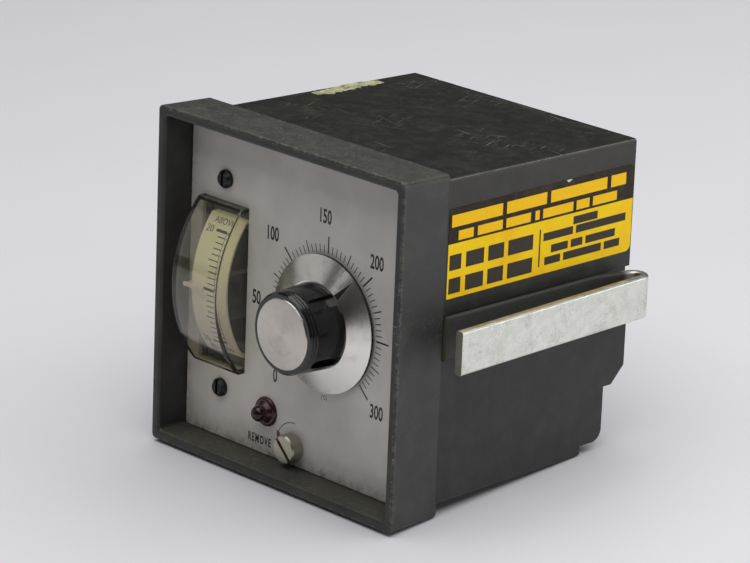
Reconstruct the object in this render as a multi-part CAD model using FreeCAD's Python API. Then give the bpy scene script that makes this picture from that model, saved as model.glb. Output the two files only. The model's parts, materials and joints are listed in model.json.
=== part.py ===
"""Panel temperature controller: a plug-in chassis with a setpoint knob and a deviation meter.

Millimetres. X runs to the right seen from the front, Y runs into the panel, Z is up.
The origin is the centre of the bezel's back face, which seats on the panel.
"""
import FreeCAD, Part
import math
import os
from FreeCAD import Vector

# Front bezel
BEZEL_SIDE = 96.0
BEZEL_DEPTH = 17.0
BEZEL_DRAFT = 0.5
BEZEL_WALL = 2.8
BEZEL_CORNER = 1.4
BEZEL_EDGE = 0.4
RIM_ROUND = 0.9
RECESS_DEPTH = 10.0
RECESS_CORNER = 1.0

# Case behind the bezel, and how far the bezel's front stands past it on each side
LIP_LEFT = 6.4
LIP_RIGHT = 0.6
LIP_TOP = 1.9
LIP_BOTTOM = 4.3
CASE_DEPTH = 72.4
CASE_TAPER = 1.2
CASE_WALL = 2.6
CASE_CORNER = 0.8
SPIGOT_STEP = 1.0
SPIGOT_CLEARANCE = 0.1
SHOULDER_SEAT = 0.4
SHOULDER_GAP = 0.15
OVERHANG_RISE = 24.1
OVERHANG_CHAMFER = 4.8
TERMINAL_SETBACK = 16.3
CHEEK_REACH = 8.4
CHEEK_RISE = 3.8
CHEEK_ROUND = 3.5

# Faceplate and folded chassis frame
PLATE_CLEARANCE = 0.3
PLATE_THICKNESS = 1.2
PLATE_CORNER = 1.0
SHEET = 1.2
SHEET_BEND = 1.5
FRAME_GAP = 0.7
FRAME_TOP_GAP = 4.3
FRAME_BOTTOM_GAP = 6.5
FLANGE_REACH = 14.0
FLANGE_JACK_GAP = 8.8
FLANGE_SIDE_GAP = 4.0
TONGUE_WIDTH = 14.0
SEAT_GAP = 0.2

# Circuit boards, posts and screws
BOARD_THICKNESS = 1.6
BOARD_SIDE_GAP = 3.0
BOARD_FRONT_GAP = 2.0
CONTROL_BOARD_BACK_GAP = 8.4
TONGUE_INSERTION = 5.6
POST_ACROSS_FLATS = 5.0
POST_INSET = 3.4
POST_BACK_GAP = 4.6
SCREW_SHANK_R = 1.45
SCREW_HOLE_R = 1.6
SCREW_HEAD_R = 2.8
SCREW_HEAD_HEIGHT = 1.9
SCREW_SLOT = 0.8
SCREW_RIM_SHARE = 0.5
SCREW_CROWN_SHARE = 0.72
SCREW_SLOT_SHARE = 0.5
POST_THREAD = 4.7
POST_TAP = 6.6
NUT_OVERSHOOT = 0.8
FLANGE_SCREW_INSET = 4.5
NUT_THICKNESS = 2.2

# Transformer, relay and small board parts
CORE_WIDTH = 35.0
CORE_HEIGHT = 29.5
CORE_STACK = 14.0
CORE_LEG = 5.8
CORE_RIGHT_GAP = 1.5
CORE_BACK_GAP = 2.6
WINDING_OVERHANG = 6.0
WINDING_GAP = 0.4
WINDING_ROUND = 2.5
WINDING_LEG_GAP = 0.1
RELAY_WIDTH = 20.0
RELAY_DEPTH = 15.2
RELAY_HEIGHT = 15.8
RELAY_LEFT_GAP = 7.3
RELAY_BACK_GAP = 1.9
RELAY_BASE_HEIGHT = 4.0
RELAY_COVER_WALL = 1.0
RELAY_BLOCK_INSET = 2.5
RELAY_BLOCK_DROP = 3.0
CAPACITOR_R = 3.6
CAPACITOR_HEIGHT = 15.0
CAPACITOR_GROOVE = 0.45
CAPACITOR_GROOVE_RISE = 1.8
CAPACITOR_LEFT_GAP = 15.6
CAPACITOR_RELAY_GAP = 3.0
CAPACITOR_PITCH = 8.0
CAPACITOR_COUNT = 2
RESISTOR_R = 1.2
RESISTOR_LENGTH = 7.0
RESISTOR_PITCH = 4.2
RESISTOR_COUNT = 7
RESISTOR_RIGHT_GAP = 6.7
RESISTOR_FRONT_GAP = 15.6
RESISTOR_LEAD_R = 0.35
RESISTOR_LIFT = 0.6
TRIMMER_SIDE = 9.5
TRIMMER_HEIGHT = 5.0
TRIMMER_DISC_R = 2.85
TRIMMER_COUNT = 3
TRIMMER_PITCH = 11.0
TRIMMER_LEFT_GAP = 6.5
TRIMMER_BACK_GAP = 6.6
CHIP_WIDTH = 6.4
CHIP_LENGTH = 19.0
CHIP_HEIGHT = 3.4
CHIP_LIFT = 0.8
CHIP_PIN = 0.5
CHIP_PIN_PITCH = 5.08
CHIP_PIN_COUNT = 4
CHIP_COUNT = 2
CHIP_RIGHT_GAP = 8.9
CHIP_PITCH = 12.0
CHIP_BACK_GAP = 5.9
TRANSISTOR_R = 4.2
TRANSISTOR_HEIGHT = 6.4
TRANSISTOR_RIM = 0.7
TRANSISTOR_COUNT = 3
TRANSISTOR_PITCH = 11.0
TRANSISTOR_LEFT_GAP = 7.4
TRANSISTOR_TRIMMER_GAP = 6.4

# Rear terminals and edge socket
TERMINAL_PITCH = 8.8
BARRIER = 1.6
BLOCK_BASE = 3.2
BLOCK_GAP = 0.3
TERMINAL_PLATE_WIDTH = 6.0
TERMINAL_PLATE_HEIGHT = 11.0
TERMINAL_PLATE_THICKNESS = 0.8
TERMINAL_PLATE_CORNER = 1.0
TERMINAL_SCREW_HEAD_R = 2.7
TERMINAL_SCREW_HEAD = 2.0
TERMINAL_SCREW_REACH = 2.4
SOCKET_DEPTH = 7.9
SOCKET_HEIGHT = 10.0
SOCKET_SLOT_GAP = 0.3
CONTACT_WIDTH = 2.4
CONTACT_THICKNESS = 0.5
CONTACT_HOLE_GAP = 0.2

# Mounting clips of flat bar
CLIP_WIDTH = 12.0
CLIP_THICKNESS = 2.4
CLIP_EDGE = 0.6
CLIP_CENTRE_Z = 2.8
CLIP_PROUD = 1.0
CLIP_SEAT_GAP = 0.3
CLIP_SIDE_GAP = 0.2
CLIP_BACK_GAP = 0.1
CLIP_TURN_LENGTH = 19.4
CLIP_FLARE_DEG = 14.0
CLIP_FLARE_ROUND = 30.0
CLIP_FLARE_RUN = 8.2
CLIP_TURN_R = 2.7
CLIP_SPLAY_DEG = 3.2
CLIP_FRONT_REACH = 5.4

# Setpoint control
DIAL_X = 10.2
DIAL_Z = -1.3
KNOB_POINTING_DEG = 38.0
POT_R = 12.0
POT_DEPTH = 10.5
POT_ROUND = 1.0
BUSH_R = 4.75
BUSH_PROUD = 3.0
BUSH_HOLE_GAP = 0.15
SHAFT_R = 3.175
SHAFT_CLEARANCE = 0.06
WASHER_R = 7.6
WASHER_THICKNESS = 0.6
NUT_ACROSS_FLATS = 12.7
NUT_HEIGHT = 1.9
POT_TAB_WIDTH = 2.2
POT_TAB_LENGTH = 5.0
POT_TAB_THICKNESS = 0.6
POT_TAB_PITCH = 5.0
POT_TAB_COUNT = 3

# Knob
SKIRT_R = 19.1
SKIRT_FLAT_R = 12.4
SKIRT_RISE = 2.7
SKIRT_THICKNESS = 0.8
SKIRT_LIFT = 0.7
KNOB_BASE_R = 12.0
KNOB_FRONT_R = 11.3
KNOB_LENGTH = 11.6
KNOB_BEVEL = 0.55
KNOB_GROOVE = 0.3
KNOB_GROOVE_BACK = 1.15
KNOB_GROOVE_PITCH = 1.1
KNOB_GROOVE_COUNT = 2
KNOB_SPIGOT_R = 5.0
KNOB_FIT = 0.05
CAP_R = 9.8
CAP_THICKNESS = 0.8
CAP_PROUD = 0.3
CAP_EDGE = 0.25
FLUTE_COUNT = 4
FLUTE_WIDTH = 3.6
FLUTE_DEPTH = 1.5
FLUTE_START = 2.6
SHAFT_IN_KNOB = 8.0
SET_SCREW_R = 1.6
SET_SCREW_LENGTH = 5.0
SET_SCREW_BACK = 3.0

# Indicator lamp
LAMP_X = -11.9
LAMP_RISE = 7.1
LENS_FLANGE_R = 4.15
LENS_FLANGE = 1.0
LENS_NUB_R = 2.35
LENS_REACH = 5.0
LENS_SPIGOT_R = 2.9
LENS_SPIGOT = 3.6
LENS_WALL = 0.8
LENS_SLOPE = 0.6
LAMP_HOLE_GAP = 0.15
LAMP_GRIP_GAP = 0.05
LAMP_HOLDER_R = 4.2
LAMP_HOLDER_LENGTH = 9.0
LAMP_HOLDER_WALL = 0.9
BULB_R = 1.6
BULB_LENGTH = 6.0
BULB_GAP = 0.2

# Jack screw that draws the chassis in
JACK_X = -0.8
JACK_RISE = 4.1
JACK_HEAD_R = 4.1
JACK_HEAD = 3.7
JACK_HEAD_LIFT = 0.3
JACK_EDGE = 0.4
JACK_SLOT = 1.1
JACK_SLOT_DEPTH = 1.5
JACK_SLOT_DEG = 45.0
JACK_R = 2.0
JACK_CLEARANCE = 0.08
JACK_HOLE_GAP = 0.4
JACK_REACH = 12.0
JACK_RING_R = 2.9
JACK_RING = 0.6
JACK_RING_GAP = 0.15
JACK_RING_FIT = 0.02
JACK_RING_OPENING = 2.0
JACK_NUT_R = 3.2
JACK_NUT_LENGTH = 9.0
JACK_NUT_GAP = 0.02
BOSS_R = 4.4
BOSS_FRONT_GAP = 1.2
BOSS_RELIEF = 0.6

# Deviation meter
METER_INSET = 7.55
METER_CENTRE_Z = -0.7
COVER_WIDTH = 18.5
COVER_R = 35.8
COVER_HALF = 23.5
COVER_REACH = 11.2
COVER_WALL = 1.3
COVER_EDGE = 0.8
COVER_FLANGE = 0.9
COVER_HOLE_GAP = 0.15
SCALE_GAP = 3.4
SCALE_THICKNESS = 0.5
SCALE_WIDTH = 12.9
SCALE_SIDE_GAP = 0.3
SCALE_END_DEG = 38.5
METER_PLATE = 1.4
METER_SCREW_RISE = 29.9
METER_EAR = 3.8
METER_SCREW_R = 1.4
METER_SCREW_HEAD_R = 2.6
METER_SCREW_HEAD = 1.8
METER_SCREW_REACH = 4.2
METER_WINDOW = 16.6
METER_CHEEK = 0.8
METER_CHEEK_HALF = 14.0
MAGNET_HALF = 12.0
MAGNET_LEFT_GAP = 5.3
MAGNET_RIGHT_GAP = 3.4
AIR_BORE_R = 8.6
METER_CORE_R = 6.4
STRAP_THICKNESS = 0.7
STRAP_WIDTH = 4.0
BEARING_R = 1.6
BEARING_LENGTH = 1.1
BEARING_FIT = 0.05
PIVOT_R = 0.5
PIVOT_CLEARANCE = 0.05
PIVOT_DEPTH = 0.6
COIL_THICKNESS = 0.8
COIL_WIDTH = 3.2
COIL_GAP = 0.5
POINTER_INSET = 1.8
POINTER_WIDTH = 1.1
POINTER_THICKNESS = 0.4
POINTER_GAP = 1.3
POINTER_TIP_LEFT = 1.2
POINTER_TIP_RIGHT = 6.8
POINTER_TAIL = 8.0
POINTER_WEIGHT_R = 1.2
HUB_R = 1.5

# Label on the right side of the case
LABEL_HEIGHT = 24.6
LABEL_CLIP_GAP = 4.6
LABEL_THICKNESS = 0.12
LABEL_MARGIN = 0.4
LABEL_CORNER = 2.0

# Places worked out from the sizes above: the case first
BEZEL_HALF = BEZEL_SIDE / 2
CASE_WIDTH = BEZEL_SIDE - LIP_LEFT - LIP_RIGHT
CASE_HEIGHT = BEZEL_SIDE - LIP_TOP - LIP_BOTTOM
CASE_SHIFT_X = (LIP_LEFT - LIP_RIGHT) / 2
CASE_SHIFT_Z = (LIP_BOTTOM - LIP_TOP) / 2
CASE_LEFT_X = LIP_LEFT - BEZEL_HALF
CASE_RIGHT_X = BEZEL_HALF - LIP_RIGHT
CASE_BOTTOM_Z = LIP_BOTTOM - BEZEL_HALF
CASE_TOP_Z = BEZEL_HALF - LIP_TOP
OVERHANG_Z = CASE_BOTTOM_Z + OVERHANG_RISE
STEP_Z = OVERHANG_Z - OVERHANG_CHAMFER
STEP_Y = CASE_DEPTH - TERMINAL_SETBACK
STEP_INNER_Y = STEP_Y - CASE_WALL
CHEEK_BOTTOM_Z = CASE_BOTTOM_Z + CHEEK_RISE

# The faceplate, the frame behind it and the boards that it carries
RECESS_HALF = BEZEL_HALF - BEZEL_WALL
PLATE_HALF = RECESS_HALF - PLATE_CLEARANCE
PLATE_FRONT_Y = RECESS_DEPTH - BEZEL_DEPTH
PLATE_BACK_Y = PLATE_FRONT_Y + PLATE_THICKNESS
FRAME_BACK_Y = PLATE_BACK_Y + SHEET
SPIGOT_FRONT_Y = FRAME_BACK_Y + SEAT_GAP
FRAME_LEFT_X = CASE_LEFT_X + CASE_WALL + FRAME_GAP
FRAME_RIGHT_X = CASE_RIGHT_X - CASE_WALL - FRAME_GAP
FRAME_TOP_Z = CASE_TOP_Z - CASE_WALL - FRAME_TOP_GAP
FRAME_BOTTOM_Z = CASE_BOTTOM_Z + CASE_WALL + FRAME_BOTTOM_GAP
BOARD_LEFT_X = FRAME_LEFT_X + BOARD_SIDE_GAP
BOARD_RIGHT_X = FRAME_RIGHT_X - BOARD_SIDE_GAP
BOARD_FRONT_Y = FRAME_BACK_Y + BOARD_FRONT_GAP
CONTROL_BOARD_Z = FRAME_TOP_Z - SHEET - BOARD_THICKNESS
CONTROL_BOARD_BACK_Y = CASE_DEPTH - CASE_WALL - CONTROL_BOARD_BACK_GAP
POWER_BOARD_Z = FRAME_BOTTOM_Z + SHEET
POWER_BOARD_TOP_Z = POWER_BOARD_Z + BOARD_THICKNESS
SOCKET_FRONT_Y = STEP_INNER_Y - SOCKET_DEPTH
SOCKET_CENTRE_Z = POWER_BOARD_Z + BOARD_THICKNESS / 2
POWER_BOARD_BACK_Y = SOCKET_FRONT_Y + TONGUE_INSERTION

# What stands on the boards
POST_Y = SOCKET_FRONT_Y - POST_BACK_GAP
CORE_CENTRE_X = BOARD_RIGHT_X - CORE_RIGHT_GAP - CORE_WIDTH / 2
CORE_CENTRE_Y = SOCKET_FRONT_Y - CORE_BACK_GAP - WINDING_OVERHANG - CORE_STACK / 2
RELAY_CENTRE_X = BOARD_LEFT_X + RELAY_LEFT_GAP + RELAY_WIDTH / 2
RELAY_CENTRE_Y = SOCKET_FRONT_Y - RELAY_BACK_GAP - RELAY_DEPTH / 2
CAPACITOR_FIRST_X = BOARD_LEFT_X + CAPACITOR_LEFT_GAP + CAPACITOR_R
CAPACITOR_Y = RELAY_CENTRE_Y - RELAY_DEPTH / 2 - CAPACITOR_RELAY_GAP - CAPACITOR_R
RESISTOR_LAST_X = BOARD_RIGHT_X - RESISTOR_RIGHT_GAP - RESISTOR_R
RESISTOR_Y = BOARD_FRONT_Y + RESISTOR_FRONT_GAP + RESISTOR_LENGTH / 2
TRIMMER_FIRST_X = BOARD_LEFT_X + TRIMMER_LEFT_GAP + TRIMMER_SIDE / 2
TRIMMER_Y = CONTROL_BOARD_BACK_Y - TRIMMER_BACK_GAP - TRIMMER_SIDE / 2
CHIP_LAST_X = BOARD_RIGHT_X - CHIP_RIGHT_GAP - CHIP_WIDTH / 2
CHIP_Y = CONTROL_BOARD_BACK_Y - CHIP_BACK_GAP - CHIP_LENGTH / 2
TRANSISTOR_FIRST_X = BOARD_LEFT_X + TRANSISTOR_LEFT_GAP + TRANSISTOR_R + TRANSISTOR_RIM
TRANSISTOR_Y = TRIMMER_Y - TRIMMER_SIDE / 2 - TRANSISTOR_TRIMMER_GAP - TRANSISTOR_R - TRANSISTOR_RIM

# Rear terminals: as many as fit between the case's cheeks
CHEEK_ROOM = CASE_WIDTH - 2 * CASE_WALL - 2 * CASE_TAPER - 2 * BLOCK_GAP
TERMINAL_COUNT = int((CHEEK_ROOM - BARRIER) / TERMINAL_PITCH)
BLOCK_WIDTH = TERMINAL_COUNT * TERMINAL_PITCH + BARRIER

# Front controls
JACK_Z = CASE_BOTTOM_Z + JACK_RISE
JACK_HEAD_BACK_Y = PLATE_FRONT_Y - JACK_HEAD_LIFT
BOSS_FRONT_Y = SPIGOT_FRONT_Y + BOSS_FRONT_GAP
FLANGE_LEFT_X = JACK_X + FLANGE_JACK_GAP
LAMP_Z = JACK_Z + LAMP_RISE
SKIRT_BACK_Y = PLATE_FRONT_Y - SKIRT_LIFT
KNOB_BACK_Y = SKIRT_BACK_Y - SKIRT_RISE - SKIRT_THICKNESS
KNOB_FRONT_Y = KNOB_BACK_Y - KNOB_LENGTH

# Deviation meter
METER_CENTRE_X = FRAME_LEFT_X + METER_INSET
COVER_LEFT_X = METER_CENTRE_X - COVER_WIDTH / 2
COVER_RIGHT_X = METER_CENTRE_X + COVER_WIDTH / 2
PIVOT_Y = PLATE_FRONT_Y - COVER_REACH + COVER_R
SCALE_RIGHT_X = COVER_RIGHT_X - COVER_WALL - SCALE_SIDE_GAP
SCALE_R = COVER_R - COVER_WALL - SCALE_GAP
METER_FRONT_Y = FRAME_BACK_Y
METER_PLATE_BACK_Y = METER_FRONT_Y + METER_PLATE
METER_LEFT_X = FRAME_LEFT_X
METER_RIGHT_X = COVER_RIGHT_X + COVER_FLANGE
MAGNET_LEFT_X = METER_LEFT_X + MAGNET_LEFT_GAP
MAGNET_RIGHT_X = METER_RIGHT_X - MAGNET_RIGHT_GAP
MAGNET_BACK_Y = PIVOT_Y + MAGNET_HALF
POINTER_X = METER_LEFT_X + POINTER_INSET

# Clips and label on the side walls
CLIP_STRAIGHT = CASE_DEPTH - CLIP_TURN_LENGTH
LABEL_BOTTOM_Z = CLIP_CENTRE_Z + CLIP_WIDTH / 2 + LABEL_CLIP_GAP
LABEL_TOP_Z = LABEL_BOTTOM_Z + LABEL_HEIGHT

# A length longer than the whole part, for cutters that run right through
FAR = 2 * BEZEL_SIDE

# How far a cutter runs past the face that it leaves, and the slack when edges are picked
OVER = 1.0
SLACK = 1e-6


def slab(x0, x1, y0, y1, z0, z1):
    """A block between two corners."""
    return Part.makeBox(x1 - x0, y1 - y0, z1 - z0, Vector(x0, y0, z0))


def centred_slab(x, y, half_x, half_y, z0, z1):
    """A block about an upright line."""
    return slab(x - half_x, x + half_x, y - half_y, y + half_y, z0, z1)


def rod(radius, start, end):
    """A round bar between two points."""
    axis = Vector(*end) - Vector(*start)
    return Part.makeCylinder(radius, axis.Length, Vector(*start), axis)


def rod_y(radius, x, z, y0, y1):
    """A round bar along Y."""
    return rod(radius, (x, y0, z), (x, y1, z))


def rounded_outline(x0, x1, z0, z1, radius, y):
    """A closed rectangle with round corners, facing Y."""
    sides = [
        Part.LineSegment(Vector(x0 + radius, y, z0), Vector(x1 - radius, y, z0)),
        Part.LineSegment(Vector(x1, y, z0 + radius), Vector(x1, y, z1 - radius)),
        Part.LineSegment(Vector(x1 - radius, y, z1), Vector(x0 + radius, y, z1)),
        Part.LineSegment(Vector(x0, y, z1 - radius), Vector(x0, y, z0 + radius)),
    ]
    reach = radius * math.sqrt(0.5)
    corners = [
        (x1 - radius, z0 + radius, 1, -1),
        (x1 - radius, z1 - radius, 1, 1),
        (x0 + radius, z1 - radius, -1, 1),
        (x0 + radius, z0 + radius, -1, -1),
    ]
    edges = []
    for index, (side, corner) in enumerate(zip(sides, corners)):
        following = sides[(index + 1) % len(sides)]
        middle = Vector(corner[0] + corner[2] * reach, y, corner[1] + corner[3] * reach)
        edges.append(side.toShape())
        edges.append(Part.Arc(side.EndPoint, middle, following.StartPoint).toShape())
    return Part.Wire(edges)


def rounded_slab(x0, x1, y0, y1, z0, z1, radius):
    """A block whose four edges along Y are round."""
    face = Part.Face(rounded_outline(x0, x1, z0, z1, radius, y0))
    return face.extrude(Vector(0, y1 - y0, 0))


def outline(points):
    """A closed wire of straight sides through the points."""
    return Part.Wire(Part.makePolygon(points + points[:1]).Edges)


def prism_x(profile, x0, x1):
    """A Y-Z profile drawn out along X."""
    wire = outline([Vector(x0, y, z) for y, z in profile])
    return Part.Face(wire).extrude(Vector(x1 - x0, 0, 0))


def prism_z(profile, z0, z1):
    """An X-Y profile drawn out along Z."""
    wire = outline([Vector(x, y, z0) for x, y in profile])
    return Part.Face(wire).extrude(Vector(0, 0, z1 - z0))


def turned(profile, x, z):
    """A profile of (radius, y) points turned about a Y axis."""
    wire = outline([Vector(x + r, y, z) for r, y in profile])
    return Part.Face(wire).revolve(Vector(x, 0, z), Vector(0, 1, 0), 360)


def hexagon_y(across_flats, x, z, y0, y1):
    """A hexagonal bar along Y."""
    radius = across_flats / math.sqrt(3)
    corners = [
        Vector(x + radius * math.cos(math.radians(60 * k)), y0, z + radius * math.sin(math.radians(60 * k)))
        for k in range(6)
    ]
    return Part.Face(outline(corners)).extrude(Vector(0, y1 - y0, 0))


def fused(shapes):
    """One solid of several that meet."""
    return shapes[0].multiFuse(shapes[1:]).removeSplitter()


def group(shapes):
    """Separate solids kept in one node."""
    return Part.Compound(shapes)


def spread(first, pitch, count):
    """Evenly spaced places."""
    return [first + pitch * k for k in range(count)]


def centred(centre, pitch, count):
    """Evenly spaced places about a centre."""
    return spread(centre - pitch * (count - 1) / 2, pitch, count)


def case_sides(y, inset):
    """The case's left, right, bottom and top at a depth, moved in by an inset."""
    narrowing = CASE_TAPER * y / CASE_DEPTH + inset
    half_width = CASE_WIDTH / 2 - narrowing
    half_height = CASE_HEIGHT / 2 - narrowing
    return (
        CASE_SHIFT_X - half_width,
        CASE_SHIFT_X + half_width,
        CASE_SHIFT_Z - half_height,
        CASE_SHIFT_Z + half_height,
    )


def tapered_block(y0, y1, inset, corner):
    """The case's tapered outline between two depths."""
    wires = [rounded_outline(*case_sides(y, inset), corner, y) for y in (y0, y1)]
    return Part.makeLoft(wires, True, True)


def cheek_cut():
    """What the stepped rear edge takes off the case's side walls."""
    cheek_y = STEP_Y + CHEEK_REACH
    round_y = cheek_y - CHEEK_ROUND
    round_z = CHEEK_BOTTOM_Z + CHEEK_ROUND
    reach = CHEEK_ROUND * math.sqrt(0.5)
    points = {
        "out_top": (CASE_DEPTH + OVER, OVERHANG_Z),
        "chamfer_top": (CASE_DEPTH, OVERHANG_Z),
        "chamfer_end": (CASE_DEPTH - OVERHANG_CHAMFER, STEP_Z),
        "cheek_top": (cheek_y, STEP_Z),
        "round_start": (cheek_y, round_z),
        "round_end": (round_y, CHEEK_BOTTOM_Z),
        "step": (STEP_Y, CHEEK_BOTTOM_Z),
        "floor": (STEP_Y, -FAR),
        "out_bottom": (CASE_DEPTH + OVER, -FAR),
    }
    place = {name: Vector(-FAR, y, z) for name, (y, z) in points.items()}
    order = list(place.values())
    edges = []
    for start, end in zip(order, order[1:] + order[:1]):
        if start == place["round_start"]:
            middle = Vector(-FAR, round_y + reach, round_z - reach)
            edges.append(Part.Arc(start, middle, end).toShape())
        else:
            edges.append(Part.LineSegment(start, end).toShape())
    return Part.Face(Part.Wire(edges)).extrude(Vector(2 * FAR, 0, 0))


def cavity():
    """The space inside the case, which follows its stepped rear."""
    room = tapered_block(SPIGOT_FRONT_Y - OVER, CASE_DEPTH - CASE_WALL, CASE_WALL, CASE_CORNER)
    step = [
        (CASE_DEPTH + OVER, OVERHANG_Z + CASE_WALL),
        (CASE_DEPTH - CASE_WALL, OVERHANG_Z + CASE_WALL),
        (CASE_DEPTH - CASE_WALL - OVERHANG_CHAMFER, STEP_Z + CASE_WALL),
        (STEP_INNER_Y, STEP_Z + CASE_WALL),
        (STEP_INNER_Y, -FAR),
        (CASE_DEPTH + OVER, -FAR),
    ]
    return room.cut(prism_x(step, -FAR, FAR))


def clip_channel(side):
    """The shallow channel in one side wall; side is 1 on the right and -1 on the left."""
    depth = CLIP_THICKNESS - CLIP_PROUD + CLIP_BACK_GAP
    half = CLIP_WIDTH / 2 + CLIP_SIDE_GAP
    wall = 1 if side > 0 else 0
    wall_front = case_sides(-OVER, 0)[wall]
    wall_back = case_sides(CASE_DEPTH, 0)[wall]
    profile = [
        (wall_front - side * depth, -OVER),
        (wall_front + side * CLIP_THICKNESS, -OVER),
        (wall_back + side * CLIP_THICKNESS, CASE_DEPTH),
        (wall_back - side * depth, CASE_DEPTH),
    ]
    return prism_z(profile, CLIP_CENTRE_Z - half, CLIP_CENTRE_Z + half)


def contact_places():
    """The middles of the terminals along X."""
    return centred(CASE_SHIFT_X, TERMINAL_PITCH, TERMINAL_COUNT)


def contact_strips(gap):
    """The flat strips through the rear wall, grown all round by a gap."""
    half = CONTACT_WIDTH / 2 + gap
    bottom = POWER_BOARD_Z - SOCKET_SLOT_GAP - CONTACT_THICKNESS - gap
    top = bottom + CONTACT_THICKNESS + 2 * gap
    front = SOCKET_FRONT_Y + SOCKET_DEPTH - TONGUE_INSERTION
    back = STEP_Y + BLOCK_BASE
    return [slab(x - half, x + half, front - gap, back, bottom, top) for x in contact_places()]


def case():
    """Moulded body, open at the front, with a jack boss on its floor."""
    outside = tapered_block(-SHOULDER_SEAT, CASE_DEPTH, 0, CASE_CORNER).cut(cheek_cut())
    spigot = rounded_slab(
        *case_sides(0, SPIGOT_STEP)[:2], SPIGOT_FRONT_Y, 0, *case_sides(0, SPIGOT_STEP)[2:], CASE_CORNER
    )
    body = fused([outside, spigot]).cut(cavity())
    inner_left, inner_right = case_sides(STEP_Y, CASE_WALL)[:2]
    body = body.cut(slab(inner_left, inner_right, STEP_Y, CASE_DEPTH + OVER, -FAR, STEP_Z))
    boss_end = BOSS_FRONT_Y + JACK_NUT_LENGTH
    floor_z = CASE_BOTTOM_Z + CASE_WALL
    foot = slab(JACK_X - BOSS_R, JACK_X + BOSS_R, BOSS_FRONT_Y, boss_end, floor_z - CASE_WALL / 2, JACK_Z)
    boss = fused([rod_y(BOSS_R, JACK_X, JACK_Z, BOSS_FRONT_Y, boss_end), foot])
    boss = boss.common(tapered_block(0, CASE_DEPTH, SPIGOT_STEP, CASE_CORNER).fuse(spigot))
    body = fused([body, boss])
    relief_r = JACK_RING_R + BOSS_RELIEF
    body = body.cut(rod_y(relief_r, JACK_X, JACK_Z, SPIGOT_FRONT_Y - OVER, BOSS_FRONT_Y))
    body = body.cut(rod_y(JACK_NUT_R, JACK_X, JACK_Z, BOSS_FRONT_Y - OVER, boss_end))
    reach = PLATE_FRONT_Y + JACK_REACH + JACK_CLEARANCE
    body = body.cut(rod_y(JACK_R + JACK_CLEARANCE, JACK_X, JACK_Z, BOSS_FRONT_Y, max(reach, boss_end) + OVER))
    for side in (1, -1):
        body = body.cut(clip_channel(side))
    for strip in contact_strips(CONTACT_HOLE_GAP):
        body = body.cut(strip)
    return body.removeSplitter()


def front_bezel():
    """Moulded square frame whose back is pocketed for the case's spigot, its shoulder and the clips."""
    back_half = BEZEL_HALF - BEZEL_DRAFT
    outside = Part.makeLoft(
        [
            rounded_outline(-BEZEL_HALF, BEZEL_HALF, -BEZEL_HALF, BEZEL_HALF, BEZEL_CORNER, -BEZEL_DEPTH),
            rounded_outline(-back_half, back_half, -back_half, back_half, BEZEL_CORNER, 0),
        ],
        True,
        True,
    )
    front_edges = [e for e in outside.Edges if max(abs(v.Y + BEZEL_DEPTH) for v in e.Vertexes) < SLACK]
    outside = outside.makeFillet(BEZEL_EDGE, front_edges)
    half = RECESS_HALF
    recess = rounded_slab(-half, half, -BEZEL_DEPTH - OVER, SPIGOT_FRONT_Y, -half, half, RECESS_CORNER)
    frame = outside.cut(recess)
    rim = [
        e
        for e in frame.Edges
        if max(abs(v.Y + BEZEL_DEPTH) for v in e.Vertexes) < SLACK
        and max(max(abs(v.X), abs(v.Z)) for v in e.Vertexes) < RECESS_HALF + SLACK
    ]
    frame = frame.makeFillet(RIM_ROUND, rim)
    fit = SPIGOT_STEP - SPIGOT_CLEARANCE
    left, right, bottom, top = case_sides(0, fit)
    socket = rounded_slab(left, right, SPIGOT_FRONT_Y, OVER, bottom, top, CASE_CORNER)
    left, right, bottom, top = case_sides(0, -SHOULDER_GAP)
    rebate = rounded_slab(left, right, -SHOULDER_SEAT, OVER, bottom, top, CASE_CORNER + SHOULDER_GAP)
    half = CLIP_WIDTH / 2 + CLIP_SIDE_GAP
    clip_notch = slab(-FAR, FAR, -SHOULDER_SEAT, OVER, CLIP_CENTRE_Z - half, CLIP_CENTRE_Z + half)
    return frame.cut(socket).cut(rebate).cut(clip_notch)


def terminal_block():
    """Barrier strip: a base with a wall either side of each terminal."""
    left = CASE_SHIFT_X - BLOCK_WIDTH / 2
    right = CASE_SHIFT_X + BLOCK_WIDTH / 2
    bottom = CHEEK_BOTTOM_Z + BLOCK_GAP
    top = STEP_Z - BLOCK_GAP
    base_y = STEP_Y + BLOCK_BASE
    end_y = STEP_Y + CHEEK_REACH - BLOCK_GAP
    wall = [
        (STEP_Y, bottom),
        (end_y - CHEEK_ROUND, bottom),
        (end_y, bottom + CHEEK_ROUND),
        (end_y, top),
        (STEP_Y, top),
    ]
    walls = [
        prism_x(wall, x - BARRIER / 2, x + BARRIER / 2)
        for x in centred(CASE_SHIFT_X, TERMINAL_PITCH, TERMINAL_COUNT + 1)
    ]
    block = fused([slab(left, right, STEP_Y, base_y, bottom, top)] + walls)
    hole_y = base_y - TERMINAL_SCREW_REACH
    for x in contact_places():
        block = block.cut(rod_y(SCREW_HOLE_R, x, terminal_middle_z(), hole_y, base_y + OVER))
    for strip in contact_strips(CONTACT_HOLE_GAP):
        block = block.cut(strip)
    return block


def terminal_middle_z():
    """Height of the terminals' screws."""
    return (CHEEK_BOTTOM_Z + STEP_Z) / 2


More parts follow.
